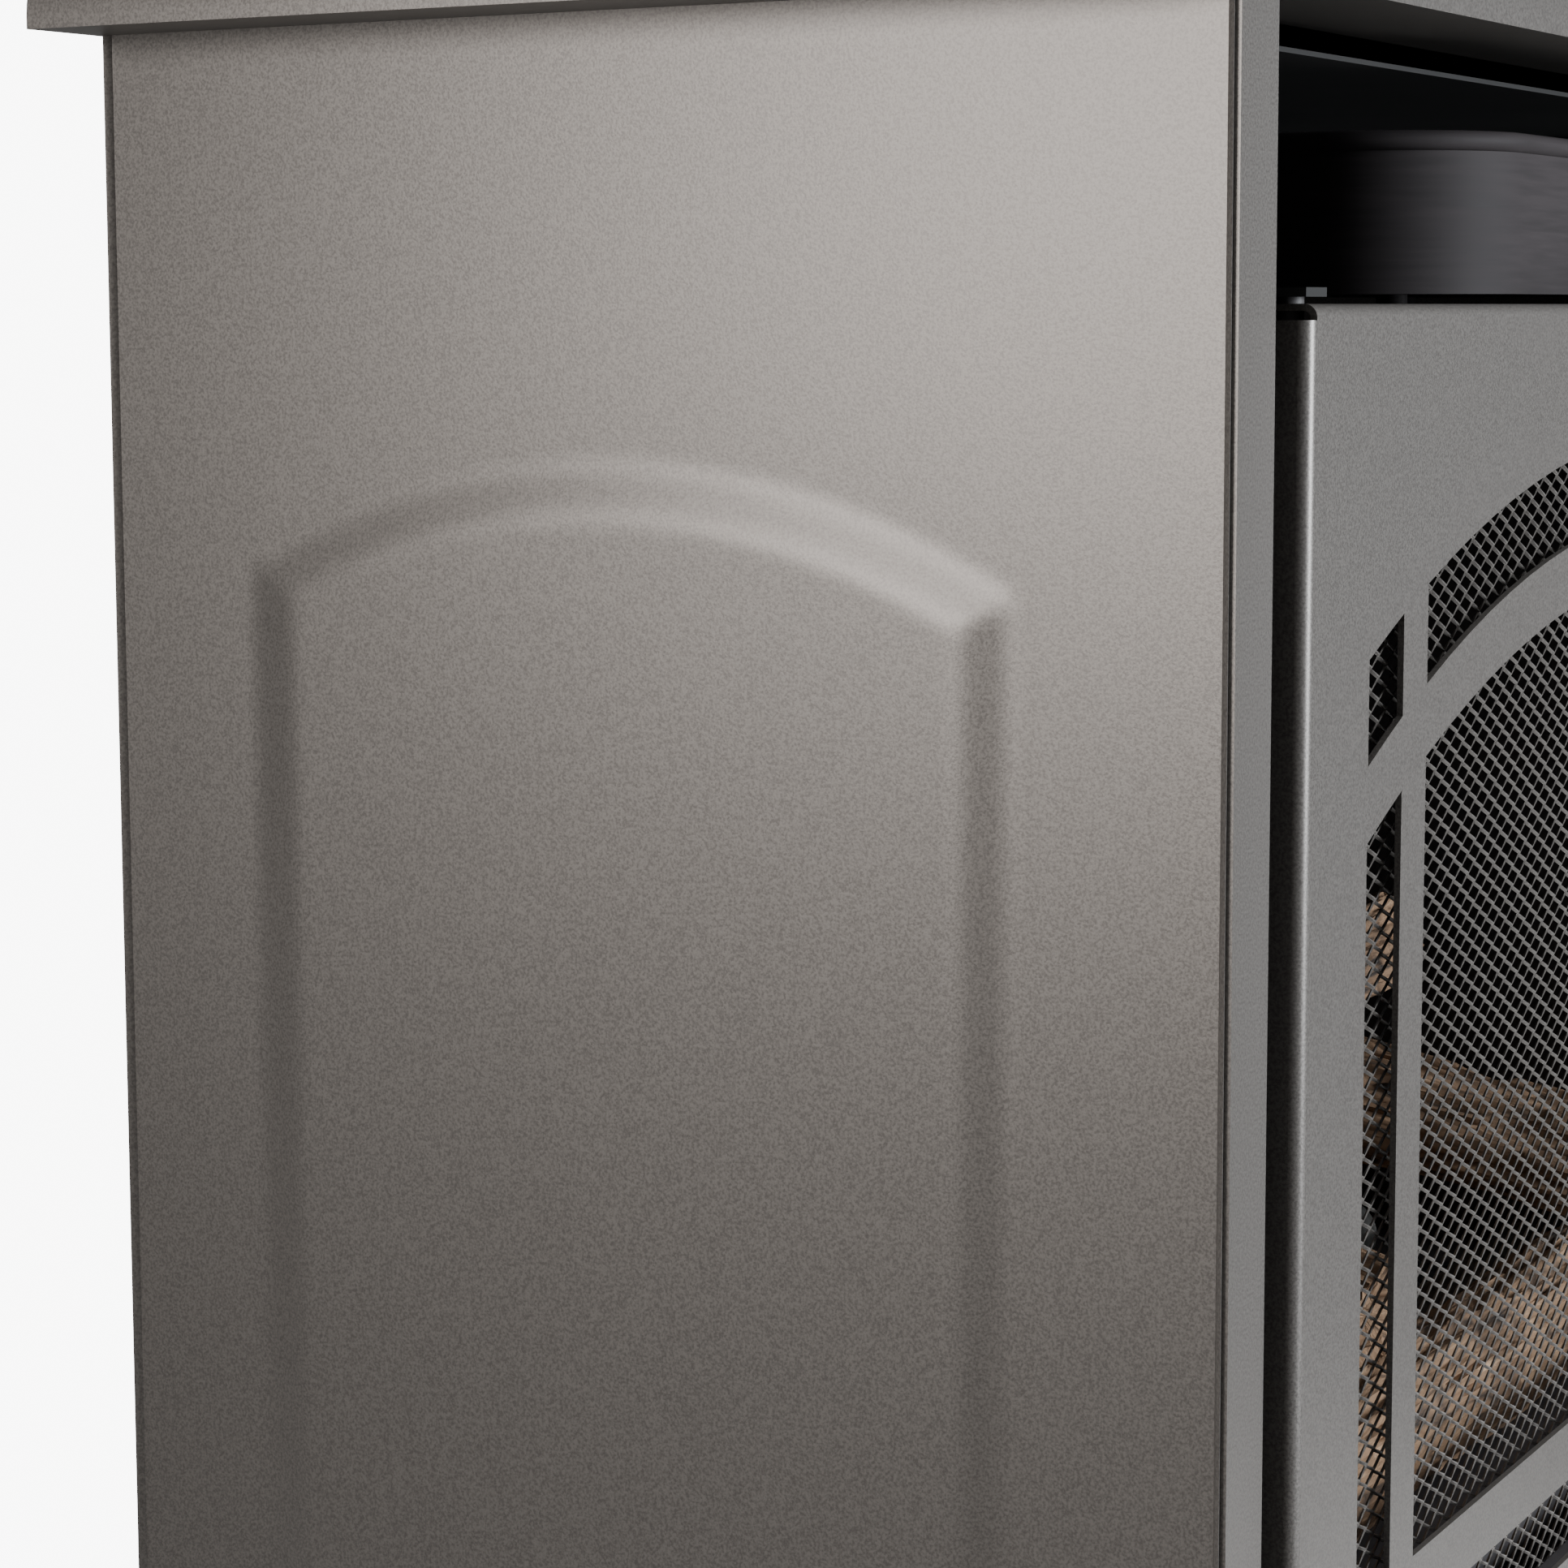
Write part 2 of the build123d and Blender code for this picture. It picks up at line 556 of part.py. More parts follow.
def hinge_pins():
    reach = BRACKET_GAP + BRACKET_T
    top = rod_z(PIN_R, DOOR_TOP - PIN_IN, DOOR_TOP + reach, PIVOT_X, PIVOT_Y)
    low = rod_z(PIN_R, DOOR_BOTTOM - reach, DOOR_BOTTOM + PIN_IN, PIVOT_X, PIVOT_Y)
    return Compound(children=[top, low])


def hinge_brackets():
    """Two angles on the front of the face frame; each pin turns in the arm that reaches forward."""
    solids = []
    x0 = PIVOT_X - BRACKET_W / 2
    x1 = PIVOT_X + BRACKET_W / 2
    for edge, way in ((DOOR_TOP + BRACKET_GAP, 1), (DOOR_BOTTOM - BRACKET_GAP, -1)):
        arm = block(x0, x1, PIVOT_Y - BRACKET_W / 2, FACE_FRONT, edge, edge + way * BRACKET_T)
        foot = edge + way * (BRACKET_T - BRACKET_LEG)
        leg = block(x0, x1, FACE_FRONT - SHEET, FACE_FRONT, foot, edge + way * BRACKET_T)
        hole = rod_z(PIN_R + PIN_CLEAR, edge - 5, edge + 5, PIVOT_X, PIVOT_Y)
        solids.append(arm + leg - hole)
    return Compound(children=solids)


def door_handle():
    bar_y = CASE_FRONT - HANDLE_STAND
    grip = rod_z(HANDLE_R, HANDLE_Z - HANDLE_L / 2, HANDLE_Z + HANDLE_L / 2, HANDLE_X, bar_y)
    grip = fillet(grip.edges(), 2)
    for z in HANDLE_POSTS:
        grip += rod_y(POST_R, bar_y, CASE_FRONT, HANDLE_X, z)
    for z in HANDLE_POSTS:
        grip -= rod_y(SCREW_R, CASE_FRONT - 8, CASE_FRONT + 1, HANDLE_X, z)
    return grip


def handle_screws():
    y = CASE_FRONT + SHEET
    return Compound(children=[screw(HANDLE_X, y, z, (0, -1, 0), 9) for z in HANDLE_POSTS])


def door_strike():
    x1 = DOOR_HALF - SHEET
    wing = block(x1 - SHEET, x1, CASE_FRONT + SHEET + 2, DOOR_BACK, HANDLE_Z - 12, HANDLE_Z + 12)
    lip = block(x1 - 14, x1, DOOR_BACK - SHEET, DOOR_BACK, HANDLE_Z - 12, HANDLE_Z + 12)
    return wing + lip


def magnet_catch():
    low = HANDLE_Z - CATCH_W / 2
    body = block(DOOR_HALF - 15, DOOR_HALF + 1, DOOR_BACK + CATCH_GAP, FACE_FRONT, low, low + CATCH_W)
    return fillet(body.faces().sort_by(Axis.Y)[0].edges(), 0.8)


# ---- control door -----------------------------------------------------------------------------------
def control_door():
    door = folded_tray(DOOR_HALF, CONTROL_BOTTOM, CONTROL_TOP, DOOR_BEND_R)
    return door - rod_x(ROD_R, -DOOR_HALF - 1, DOOR_HALF + 1, PIVOT_Y, ROD_Z)


def control_hinge_rod():
    reach = DOOR_HALF + BRACKET_GAP + BRACKET_T + 3
    return rod_x(ROD_R, -reach, reach, PIVOT_Y, ROD_Z)


def control_hinge_brackets():
    solids = []
    for sign in (-1, 1):
        x0 = sign * (DOOR_HALF + BRACKET_GAP)
        x1 = x0 + sign * BRACKET_T
        ear = block(x0, x1, CASE_FRONT + SHEET + 0.5, PIVOT_Y + 12, BASE_TOP, ROD_Z + 10)
        toe = block(x0, x0 + sign * 7, CASE_FRONT + SHEET + 0.5, PIVOT_Y + 12, BASE_TOP, BASE_TOP + BRACKET_T)
        hole = rod_x(ROD_R + PIN_CLEAR, x0 - sign * 2, x1 + sign * 2, PIVOT_Y, ROD_Z)
        solids.append(ear + toe - hole)
    return Compound(children=solids)


def control_pull():
    z = CONTROL_TOP - 16
    plate = block(-32, 32, CASE_FRONT - 1.5, CASE_FRONT, z - 7, z + 7)
    lip = block(-32, 32, CASE_FRONT - 12, CASE_FRONT, z + 5.5, z + 7)
    roll = rod_x(2.2, -32, 32, CASE_FRONT - 11, z + 5.2)
    return plate + lip + roll


def control_catch():
    half = CATCH_W / 2
    z0 = FACE_BOTTOM - 12
    tab = block(-half, half, FACE_FRONT - SHEET, FACE_FRONT, z0, CONTROL_TOP + 10)
    return tab + block(-half, half, DOOR_BACK + CATCH_GAP, FACE_FRONT, z0, CONTROL_TOP + 2)


# ---- controls ---------------------------------------------------------------------------------------
def control_bracket():
    plate = block(-PANEL_HALF, PANEL_HALF, PANEL_Y, VALVE_FRONT, BASE_TOP, PANEL_TOP)
    toe = block(-PANEL_HALF, PANEL_HALF, PANEL_Y, PANEL_Y + 24, BASE_TOP, BASE_TOP + SHEET)
    plate += toe
    plate -= rod_y(BUSH_R, PANEL_Y - 1, VALVE_FRONT + 1, VALVE_X, CONTROL_Z)
    return plate - rod_y(NECK_R, PANEL_Y - 1, VALVE_FRONT + 1, IGNITER_X, CONTROL_Z)


def gas_valve():
    x0 = VALVE_X - VALVE_W / 2
    x1 = VALVE_X + VALVE_W / 2
    body = block(x0, x1, VALVE_FRONT, VALVE_BACK, CONTROL_Z - VALVE_H / 2, VALVE_TOP)
    body = fillet(body.edges().filter_by(Axis.Y), 6)
    body += rod_y(BUSH_R, BUSH_FRONT, VALVE_FRONT + 1, VALVE_X, CONTROL_Z)
    depth = STEM_BACK + PLUNGER_GAP + PLUNGER_L + PUSH + END_CLEAR
    return body - rod_y(STEM_R + SLIDE_CLEAR, BUSH_FRONT - 1, depth, VALVE_X, CONTROL_Z)


def valve_stem():
    return rod_y(STEM_R, STEM_FRONT, STEM_BACK, VALVE_X, CONTROL_Z)


def valve_plunger():
    start = STEM_BACK + PLUNGER_GAP
    return rod_y(STEM_R, start, start + PLUNGER_L, VALVE_X, CONTROL_Z)


def control_knob():
    knob = rod_y(KNOB_R, KNOB_FRONT, KNOB_BACK, VALVE_X, CONTROL_Z)
    front_edge = knob.edges().sort_by(Axis.Y)[0]
    knob = fillet(front_edge, 2.5)
    ring = KNOB_R + FLUTE_R / 2
    for i in range(KNOB_FLUTES):
        turn = radians(360 * i / KNOB_FLUTES)
        x = VALVE_X + ring * cos(turn)
        z = CONTROL_Z + ring * sin(turn)
        knob -= rod_y(FLUTE_R, KNOB_FRONT - 1, KNOB_BACK - 4, x, z)
    return knob - rod_y(STEM_R, STEM_FRONT, KNOB_BACK + 1, VALVE_X, CONTROL_Z)


def igniter_body():
    body = rod_y(IGNITER_R, VALVE_FRONT, VALVE_FRONT + IGNITER_L, IGNITER_X, CONTROL_Z)
    body += rod_y(NECK_R, BUTTON_MOUTH, VALVE_FRONT + 1, IGNITER_X, CONTROL_Z)
    depth = BUTTON_MOUTH + BUTTON_IN + BUTTON_TRAVEL + END_CLEAR
    return body - rod_y(BUTTON_R + SLIDE_CLEAR, BUTTON_MOUTH - 1, depth, IGNITER_X, CONTROL_Z)


def igniter_button():
    front = BUTTON_MOUTH - BUTTON_OUT
    button = rod_y(BUTTON_R, front, BUTTON_MOUTH + BUTTON_IN, IGNITER_X, CONTROL_Z)
    return fillet(button.edges().sort_by(Axis.Y)[0], 1.5)


# ---- gas train --------------------------------------------------------------------------------------
def regulator():
    w = REG_W / 2
    body = block(REG_X - w, REG_X + w, REG_Y - w, REG_Y + w, REG_Z - REG_H / 2, REG_Z + REG_H / 2)
    body = fillet(body.edges().filter_by(Axis.Z), 5)
    cap_low = REG_Z + REG_H / 2
    body += rod_z(REG_CAP_R, cap_low, cap_low + 10, REG_X, REG_Y)
    body += rod_z(9, cap_low + 10, cap_low + 20, REG_X, REG_Y)
    return body


def inlet_fitting():
    start = REG_Y + REG_W / 2
    end = CASE_BACK + INLET_OUT
    fitting = rod_y(INLET_R, start, end, REG_X, REG_Z)
    nut_plane = Plane(origin=(REG_X, start, REG_Z), z_dir=(0, 1, 0))
    fitting += extrude(nut_plane * RegularPolygon(INLET_NUT_R, 6), 10)
    return fitting - rod_y(INLET_BORE_R, end - INLET_BORE_L, end + 1, REG_X, REG_Z)


def supply_tube():
    z = REG_Z
    points = [(REG_X - REG_W / 2, REG_Y, z), (VALVE_X, REG_Y, z), (VALVE_X, VALVE_BACK, z)]
    return tube(points, SUPPLY_R, 2 * TUBE_BEND)


def manifold_tube():
    y = FRONT_BURNER_Y
    x = BURNER_HALF + INJECTOR_RISE
    run_z = VALVE_TOP + 45
    start = [(VALVE_X, y, VALVE_TOP), (VALVE_X, y, run_z)]
    rise = [(x, y, run_z), (x, y, BURNER_Z), (BURNER_HALF + INJECTOR_L, y, BURNER_Z)]
    return tube(start + rise, MANIFOLD_R, TUBE_BEND)


def burner_injector():
    plane = Plane(origin=(BURNER_HALF, FRONT_BURNER_Y, BURNER_Z), z_dir=(1, 0, 0))
    return extrude(plane * RegularPolygon(8, 6), INJECTOR_L)


def burner(y):
    pipe = rod_x(BURNER_R, -BURNER_HALF, BURNER_HALF, y, BURNER_Z)
    pipe -= rod_x(BURNER_R - BURNER_WALL, -BURNER_HALF + 2, BURNER_HALF - 2, y, BURNER_Z)
    first = -BURNER_HALF + PORT_MARGIN
    pitch = -2 * first / (PORT_COUNT - 1)
    for i in range(PORT_COUNT):
        pipe -= rod_z(PORT_R, BURNER_Z, BURNER_Z + BURNER_R + 2, first + pitch * i, y)
    return pipe


def crossover_tube():
    x0 = -BURNER_HALF
    x1 = x0 - CROSS_OUT
    out = [(x0, FRONT_BURNER_Y, BURNER_Z), (x1, FRONT_BURNER_Y, BURNER_Z)]
    back = [(x1, REAR_BURNER_Y, BURNER_Z), (x0, REAR_BURNER_Y, BURNER_Z)]
    return tube(out + back, CROSS_R, CROSS_OUT - 8)


def burner_brackets():
    solids = []
    for x in (-BURNER_HALF + 50, BURNER_HALF - 50):
        for y in (FRONT_BURNER_Y, REAR_BURNER_Y):
            plate = block(x - 1.5, x + 1.5, y - 9, y + 9, FIRE_DECK, BURNER_Z)
            solids.append(plate - rod_x(BURNER_R, x - 5, x + 5, y, BURNER_Z))
    return Compound(children=solids)


def pilot_bracket():
    """A low table over the firebox floor that holds the pilot, the electrode and the thermocouple."""
    low = FIRE_DECK
    high = low + 7.5
    x0 = ELECTRODE_X - 8
    x1 = THERMO_X + 8
    y0 = PILOT_Y - 9
    y1 = THERMO_Y + 9
    table = block(x0, x1, y0, y1, low, high) - block(x0 + SHEET, x1 - SHEET, y0, y1, low, high - SHEET)
    table -= rod_z(PILOT_R, low, high + 1, PILOT_X, PILOT_Y)
    table -= rod_z(ELECTRODE_R, low, high + 1, ELECTRODE_X, PILOT_Y)
    return table - rod_z(THERMO_R, low, high + 1, THERMO_X, THERMO_Y)


def pilot_burner():
    body = rod_z(PILOT_R, FIRE_DECK + 2, FIRE_DECK + PILOT_H, PILOT_X, PILOT_Y)
    body += rod_z(PILOT_R + 1.5, FIRE_DECK + 7.5, FIRE_DECK + 12, PILOT_X, PILOT_Y)
    return body - rod_z(2, FIRE_DECK + 20, FIRE_DECK + PILOT_H + 1, PILOT_X, PILOT_Y)


def spark_electrode():
    ceramic = rod_z(ELECTRODE_R, FIRE_DECK + 2, FIRE_DECK + 24, ELECTRODE_X, PILOT_Y)
    return ceramic + rod_z(0.9, FIRE_DECK + 24, FIRE_DECK + 31, ELECTRODE_X, PILOT_Y)


def thermocouple():
    start = FIRE_DECK + 2
    tip = rod_z(THERMO_R, start, FIRE_DECK + 30, THERMO_X, THERMO_Y)
    tip = fillet(tip.edges().sort_by(Axis.Z)[-1], 1.5)
    low = CONTROL_Z + 12
    x = VALVE_X + 20
    down = [(THERMO_X, THERMO_Y, start), (THERMO_X, THERMO_Y, low)]
    across = [(x, THERMO_Y, low), (x, VALVE_BACK, low)]
    return tip + tube(down + across, LEAD_R, LEAD_BEND)


def pilot_tube():
    run_z = VALVE_TOP + 25
    x = VALVE_X - 15
    down = [(PILOT_X, PILOT_Y, FIRE_DECK + 2), (PILOT_X, PILOT_Y, run_z), (x, PILOT_Y, run_z)]
    forward = [(x, FRONT_BURNER_Y, run_z), (x, FRONT_BURNER_Y, VALVE_TOP)]
    return tube(down + forward, PILOT_TUBE_R, TUBE_BEND)


def ignition_lead():
    back = VALVE_FRONT + IGNITER_L
    out = [(IGNITER_X, back, CONTROL_Z), (IGNITER_X, PILOT_Y, CONTROL_Z)]
    up = [(ELECTRODE_X, PILOT_Y, CONTROL_Z), (ELECTRODE_X, PILOT_Y, FIRE_DECK + 2)]
    return tube(out + up, LEAD_R, LEAD_BEND)


def ember_bed():
    y0 = FRONT_BURNER_Y + BURNER_R + 2
    y1 = REAR_BURNER_Y - BURNER_R - 2
    spans = ((-EMBER_HALF, ELECTRODE_X - EMBER_GAP), (THERMO_X + EMBER_GAP, EMBER_HALF))
    beds = [block(x0, x1, y0, y1, FIRE_DECK, FIRE_DECK + EMBER_H) for x0, x1 in spans]
    return Compound(children=beds)


def log_end(x, y, z):
    """A log's end in the firebox, from its place in the table."""
    edge = FIRE_FRONT if y > 0 else FIRE_BACK
    return (x * FIRE_HALF / LOG_SET_HALF, edge + y, FIRE_DECK + z)


def log_group(name):
    solids = [rod_between(log_end(*start), log_end(*end), r0, r1) for start, end, r0, r1 in LOGS[name]]
    return Compound(children=solids) if len(solids) > 1 else solids[0]


def mirrored(shape):
    return mirror(shape, about=Plane.YZ)


NODES = {
    "top_plate": top_plate,
    "side_panel_left": side_panel_left,
    "side_panel_right": lambda: mirrored(side_panel_left()),
    "back_panel": back_panel,
    "back_screws": back_screws,
    "base_plate": base_plate,
    "feet": feet,
    "foot_screws": foot_screws,
    "face_frame": face_frame,
    "firebox_floor": firebox_floor,
    "firebox_side_left": lambda: firebox_side(-1),
    "firebox_side_right": lambda: firebox_side(1),
    "firebox_back": firebox_back,
    "firebox_top": firebox_top,
    "heat_shield": heat_shield,
    "hood": hood,
    "screen_door": screen_door,
    "mesh_frame": mesh_frame,
    "door_mesh": door_mesh,
    "mesh_retainers": mesh_retainers,
    "hinge_pins": hinge_pins,
    "hinge_brackets": hinge_brackets,
    "door_handle": door_handle,
    "handle_screws": handle_screws,
    "door_strike": door_strike,
    "magnet_catch": magnet_catch,
    "control_door": control_door,
    "control_hinge_rod": control_hinge_rod,
    "control_hinge_brackets": control_hinge_brackets,
    "control_pull": control_pull,
    "control_catch": control_catch,
    "control_bracket": control_bracket,
    "gas_valve": gas_valve,
    "valve_stem": valve_stem,
    "valve_plunger": valve_plunger,
    "control_knob": control_knob,
    "igniter_body": igniter_body,
    "igniter_button": igniter_button,
    "regulator": regulator,
    "inlet_fitting": inlet_fitting,
    "supply_tube": supply_tube,
    "manifold_tube": manifold_tube,
    "burner_injector": burner_injector,
    "front_burner": lambda: burner(FRONT_BURNER_Y),
    "rear_burner": lambda: burner(REAR_BURNER_Y),
    "crossover_tube": crossover_tube,
    "burner_brackets": burner_brackets,
    "pilot_bracket": pilot_bracket,
    "pilot_burner": pilot_burner,
    "spark_electrode": spark_electrode,
    "thermocouple": thermocouple,
    "pilot_tube": pilot_tube,
    "ignition_lead": ignition_lead,
    "ember_bed": ember_bed,
}


def main():
    os.makedirs("parts", exist_ok=True)
    shapes = {name: make() for name, make in NODES.items()}
    shapes.update({name: log_group(name) for name in LOGS})
    for name, shape in shapes.items():
        export_step(shape, f"parts/{name}.step")


main()
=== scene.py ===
import json
import math
import random

import bpy
from bpy.props import FloatProperty, FloatVectorProperty, IntProperty, PointerProperty
from mathutils import Matrix, Vector, noise


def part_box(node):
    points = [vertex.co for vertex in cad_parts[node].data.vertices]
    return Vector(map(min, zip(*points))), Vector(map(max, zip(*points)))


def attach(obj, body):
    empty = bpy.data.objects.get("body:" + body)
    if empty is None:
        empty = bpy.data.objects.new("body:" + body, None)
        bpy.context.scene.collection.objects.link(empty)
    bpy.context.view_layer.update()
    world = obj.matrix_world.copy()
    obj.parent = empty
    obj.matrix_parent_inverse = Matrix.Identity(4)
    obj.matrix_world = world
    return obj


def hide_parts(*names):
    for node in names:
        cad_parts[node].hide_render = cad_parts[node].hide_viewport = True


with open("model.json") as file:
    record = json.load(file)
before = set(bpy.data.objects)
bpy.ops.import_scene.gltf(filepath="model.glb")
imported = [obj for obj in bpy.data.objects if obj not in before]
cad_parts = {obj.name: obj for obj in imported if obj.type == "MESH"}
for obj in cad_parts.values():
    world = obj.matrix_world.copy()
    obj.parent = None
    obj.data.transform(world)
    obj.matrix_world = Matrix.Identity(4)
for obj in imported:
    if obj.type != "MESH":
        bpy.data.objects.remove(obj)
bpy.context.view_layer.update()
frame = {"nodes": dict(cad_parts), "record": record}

bl_info = {
    "name": "Gas log stove",
    "version": (1, 0, 0),
    "blender": (4, 5, 0),
    "location": "3D View > Sidebar > Stove",
    "description": "Builds the finished surfaces of a free-standing gas log stove round its packed frame",
    "category": "Object",
}

MM = 0.001


# ---- sizes that a user would change -------------------------------------------------------------------
def length(name, millimetres, text):
    return FloatProperty(name=name, default=millimetres * MM, unit="LENGTH", precision=4, description=text)


def colour(name, hex_value, text):
    return FloatVectorProperty(
        name=name, default=linear(hex_value), size=4, subtype="COLOR", min=0.0, max=1.0, description=text)


def linear(hex_value):
    """An sRGB hex colour as linear RGBA."""
    channels = [int(hex_value[i:i + 2], 16) / 255 for i in (1, 3, 5)]
    curve = [c / 12.92 if c <= 0.04045 else ((c + 0.055) / 1.055) ** 2.4 for c in channels]
    return (*curve, 1.0)


class StoveCase(bpy.types.PropertyGroup):
    """Sizes and colours of the folded case."""
    sheet: length("Sheet", 1.5, "Thickness of the side panels")
    bend: length("Bend radius", 2.0, "Outside radius of the panel's folds")
    flange: length("Flange", 25.0, "Width of the turned front and rear edges")
    arch_half: length("Arch half width", 101.0, "From the middle of the arch to its upright edge")
    arch_middle: length("Arch middle", 6.0, "Depth of the arch's middle line behind the case's middle")
    arch_bottom: length("Arch bottom", 135.0, "Lower edge of the pressed arch")
    arch_corner: length("Arch corner", 499.0, "Height where the upright edges meet the curve")
    arch_radius: length("Arch radius", 206.0, "Radius of the pressed curve")
    arch_slope: length("Arch slope", 13.0, "Width of the sloping border")
    arch_raise: length("Arch raise", 2.6, "How far the arch stands out")
    grid: length("Panel grid", 2.5, "Spacing of the pressed panel's mesh")
    paint: colour("Stove paint", "#736f6b", "High-temperature textured paint")
    paint_dark: colour("Stove paint, hollows", "#5d5956", "The same paint between its grains")


class StoveScreen(bpy.types.PropertyGroup):
    """Sizes of the expanded-metal screen."""
    long_way: length("Diamond width", 9.9, "Long way of the expanded metal's diamond")
    short_way: length("Diamond height", 5.15, "Short way of the diamond")
    strand: length("Strand width", 1.15, "Width of one strand")
    strand_depth: length("Strand depth", 0.8, "Thickness of the sheet it was cut from")
    twist: FloatProperty(name="Twist", default=0.85, min=0.0, max=2.0, description="Lean of the strands")


class StoveLogs(bpy.types.PropertyGroup):
    """Sizes and colours of the ceramic logs and embers."""
    bark_depth: length("Bark depth", 5.0, "Depth of the bark's furrows")
    # painted shade and painted highlight: furrow darkens the low parts of the bark's bump, split lightens
    # the tops of its ridges
    bark: colour("Bark", "#8a6f57", "Raised bark")
    furrow: colour("Furrow", "#2d2622", "Depth of the furrows")
    split: colour("Split wood", "#c9a888", "Pale worn ridges and broken ends")
    stones: IntProperty(
        name="Ember stones", default=230, min=10, max=600, description="Loose stones on the bed")


# ---- node helper ----------------------------------------------------------------------------------------
def add(tree, kind, links=None, **settings):
    """A shader node with its attributes and socket values set, and its inputs linked."""
    node = tree.nodes.new(kind)
    for key, value in settings.items():
        if hasattr(node, key):
            setattr(node, key, value)
    for key, value in settings.items():
        if not hasattr(node, key):
            node.inputs[key.replace("_", " ")].default_value = value
    for key, source in (links or {}).items():
        tree.links.new(source, node.inputs[key])
    return node


def new_material(name, **shader):
    """A material with a Principled shader whose constant values are set on its own sockets."""
    material = bpy.data.materials.new(name)
    material.use_nodes = True
    tree = material.node_tree
    principled = tree.nodes["Principled BSDF"]
    for key, value in shader.items():
        principled.inputs[key.replace("_", " ")].default_value = value
    return material, tree, principled


def ramp(tree, source, stops):
    """A colour ramp over a value."""
    node = add(tree, "ShaderNodeValToRGB", {"Fac": source})
    elements = node.color_ramp.elements
    while len(elements) < len(stops):
        elements.new(0.5)
    for element, (place, rgba) in zip(elements, stops):
        element.position = place
        element.color = rgba
    return node.outputs["Color"]


def grains(tree, size_mm, detail=2.0, roughness=0.5, stretch=None):
    """Noise over object coordinates whose grains are size_mm across."""
    place = add(tree, "ShaderNodeTexCoord").outputs["Object"]
    if stretch:
        place = add(tree, "ShaderNodeMapping", {"Vector": place}, Scale=stretch).outputs["Vector"]
    pattern = add(tree, "ShaderNodeTexNoise", {"Vector": place}, Scale=1000.0 / (2.0 * size_mm),
                  Detail=detail, Roughness=roughness)
    return pattern.outputs["Fac"]


def spread_over(tree, source, low, high):
    """A value from 0 to 1 laid out between two others."""
    return add(tree, "ShaderNodeMapRange", {"Value": source}, To_Min=low, To_Max=high).outputs["Result"]


def bump(tree, source, depth_mm, strength):
    node = add(tree, "ShaderNodeBump", {"Height": source}, Strength=strength, Distance=depth_mm * MM)
    return node.outputs["Normal"]


# ---- materials ------------------------------------------------------------------------------------------
PAINT_GRAIN = 0.32              # mm, the sandy grain of the stove paint
CLOUD = 30                      # a finish's cloudy patches, in grains
DULLER, SHINIER = 0.08, 0.06    # how far a finish's roughness goes up and down
WHITE = (1.0, 1.0, 1.0, 1.0)
BLACK = (0.0, 0.0, 0.0, 1.0)


def textured_stove_paint(light, dark, name="textured stove paint"):
    """Sprayed high-temperature paint: an even, fine sandy grain under a broad, dull highlight."""
    material, tree, shader = new_material(name, Metallic=0.5, IOR=1.5)
    fine = grains(tree, PAINT_GRAIN, detail=3.0, roughness=0.6)
    tree.links.new(ramp(tree, fine, [(0.36, dark), (0.6, light)]), shader.inputs["Base Color"])
    tree.links.new(spread_over(tree, fine, 0.34, 0.46), shader.inputs["Roughness"])
    tree.links.new(bump(tree, fine, 0.04, 0.6), shader.inputs["Normal"])
    return material


def coat(name, light, dark, grain_mm, rough, depth_mm=0.02, metallic=0.0, stretch=None, **shader_values):
    """A finish with two close tones, a grain in roughness and a light bump of the same grain."""
    material, tree, shader = new_material(name, Metallic=metallic, **shader_values)
    fine = grains(tree, grain_mm, detail=3.0, stretch=stretch)
    cloud = grains(tree, grain_mm * CLOUD, detail=2.0)
    both = add(tree, "ShaderNodeMath", {0: fine, 1: cloud}, operation="ADD").outputs[0]
    half = add(tree, "ShaderNodeMath", {0: both}, operation="MULTIPLY")
    half.inputs[1].default_value = 0.5
    tone = ramp(tree, half.outputs[0], [(0.38, linear(dark)), (0.62, linear(light))])
    tree.links.new(tone, shader.inputs["Base Color"])
    tree.links.new(spread_over(tree, fine, rough - SHINIER, rough + DULLER), shader.inputs["Roughness"])
    tree.links.new(bump(tree, fine, depth_mm, 0.5), shader.inputs["Normal"])
    return material


BRUSHED = (0.04, 1.0, 1.0)      # draws the grain out along X

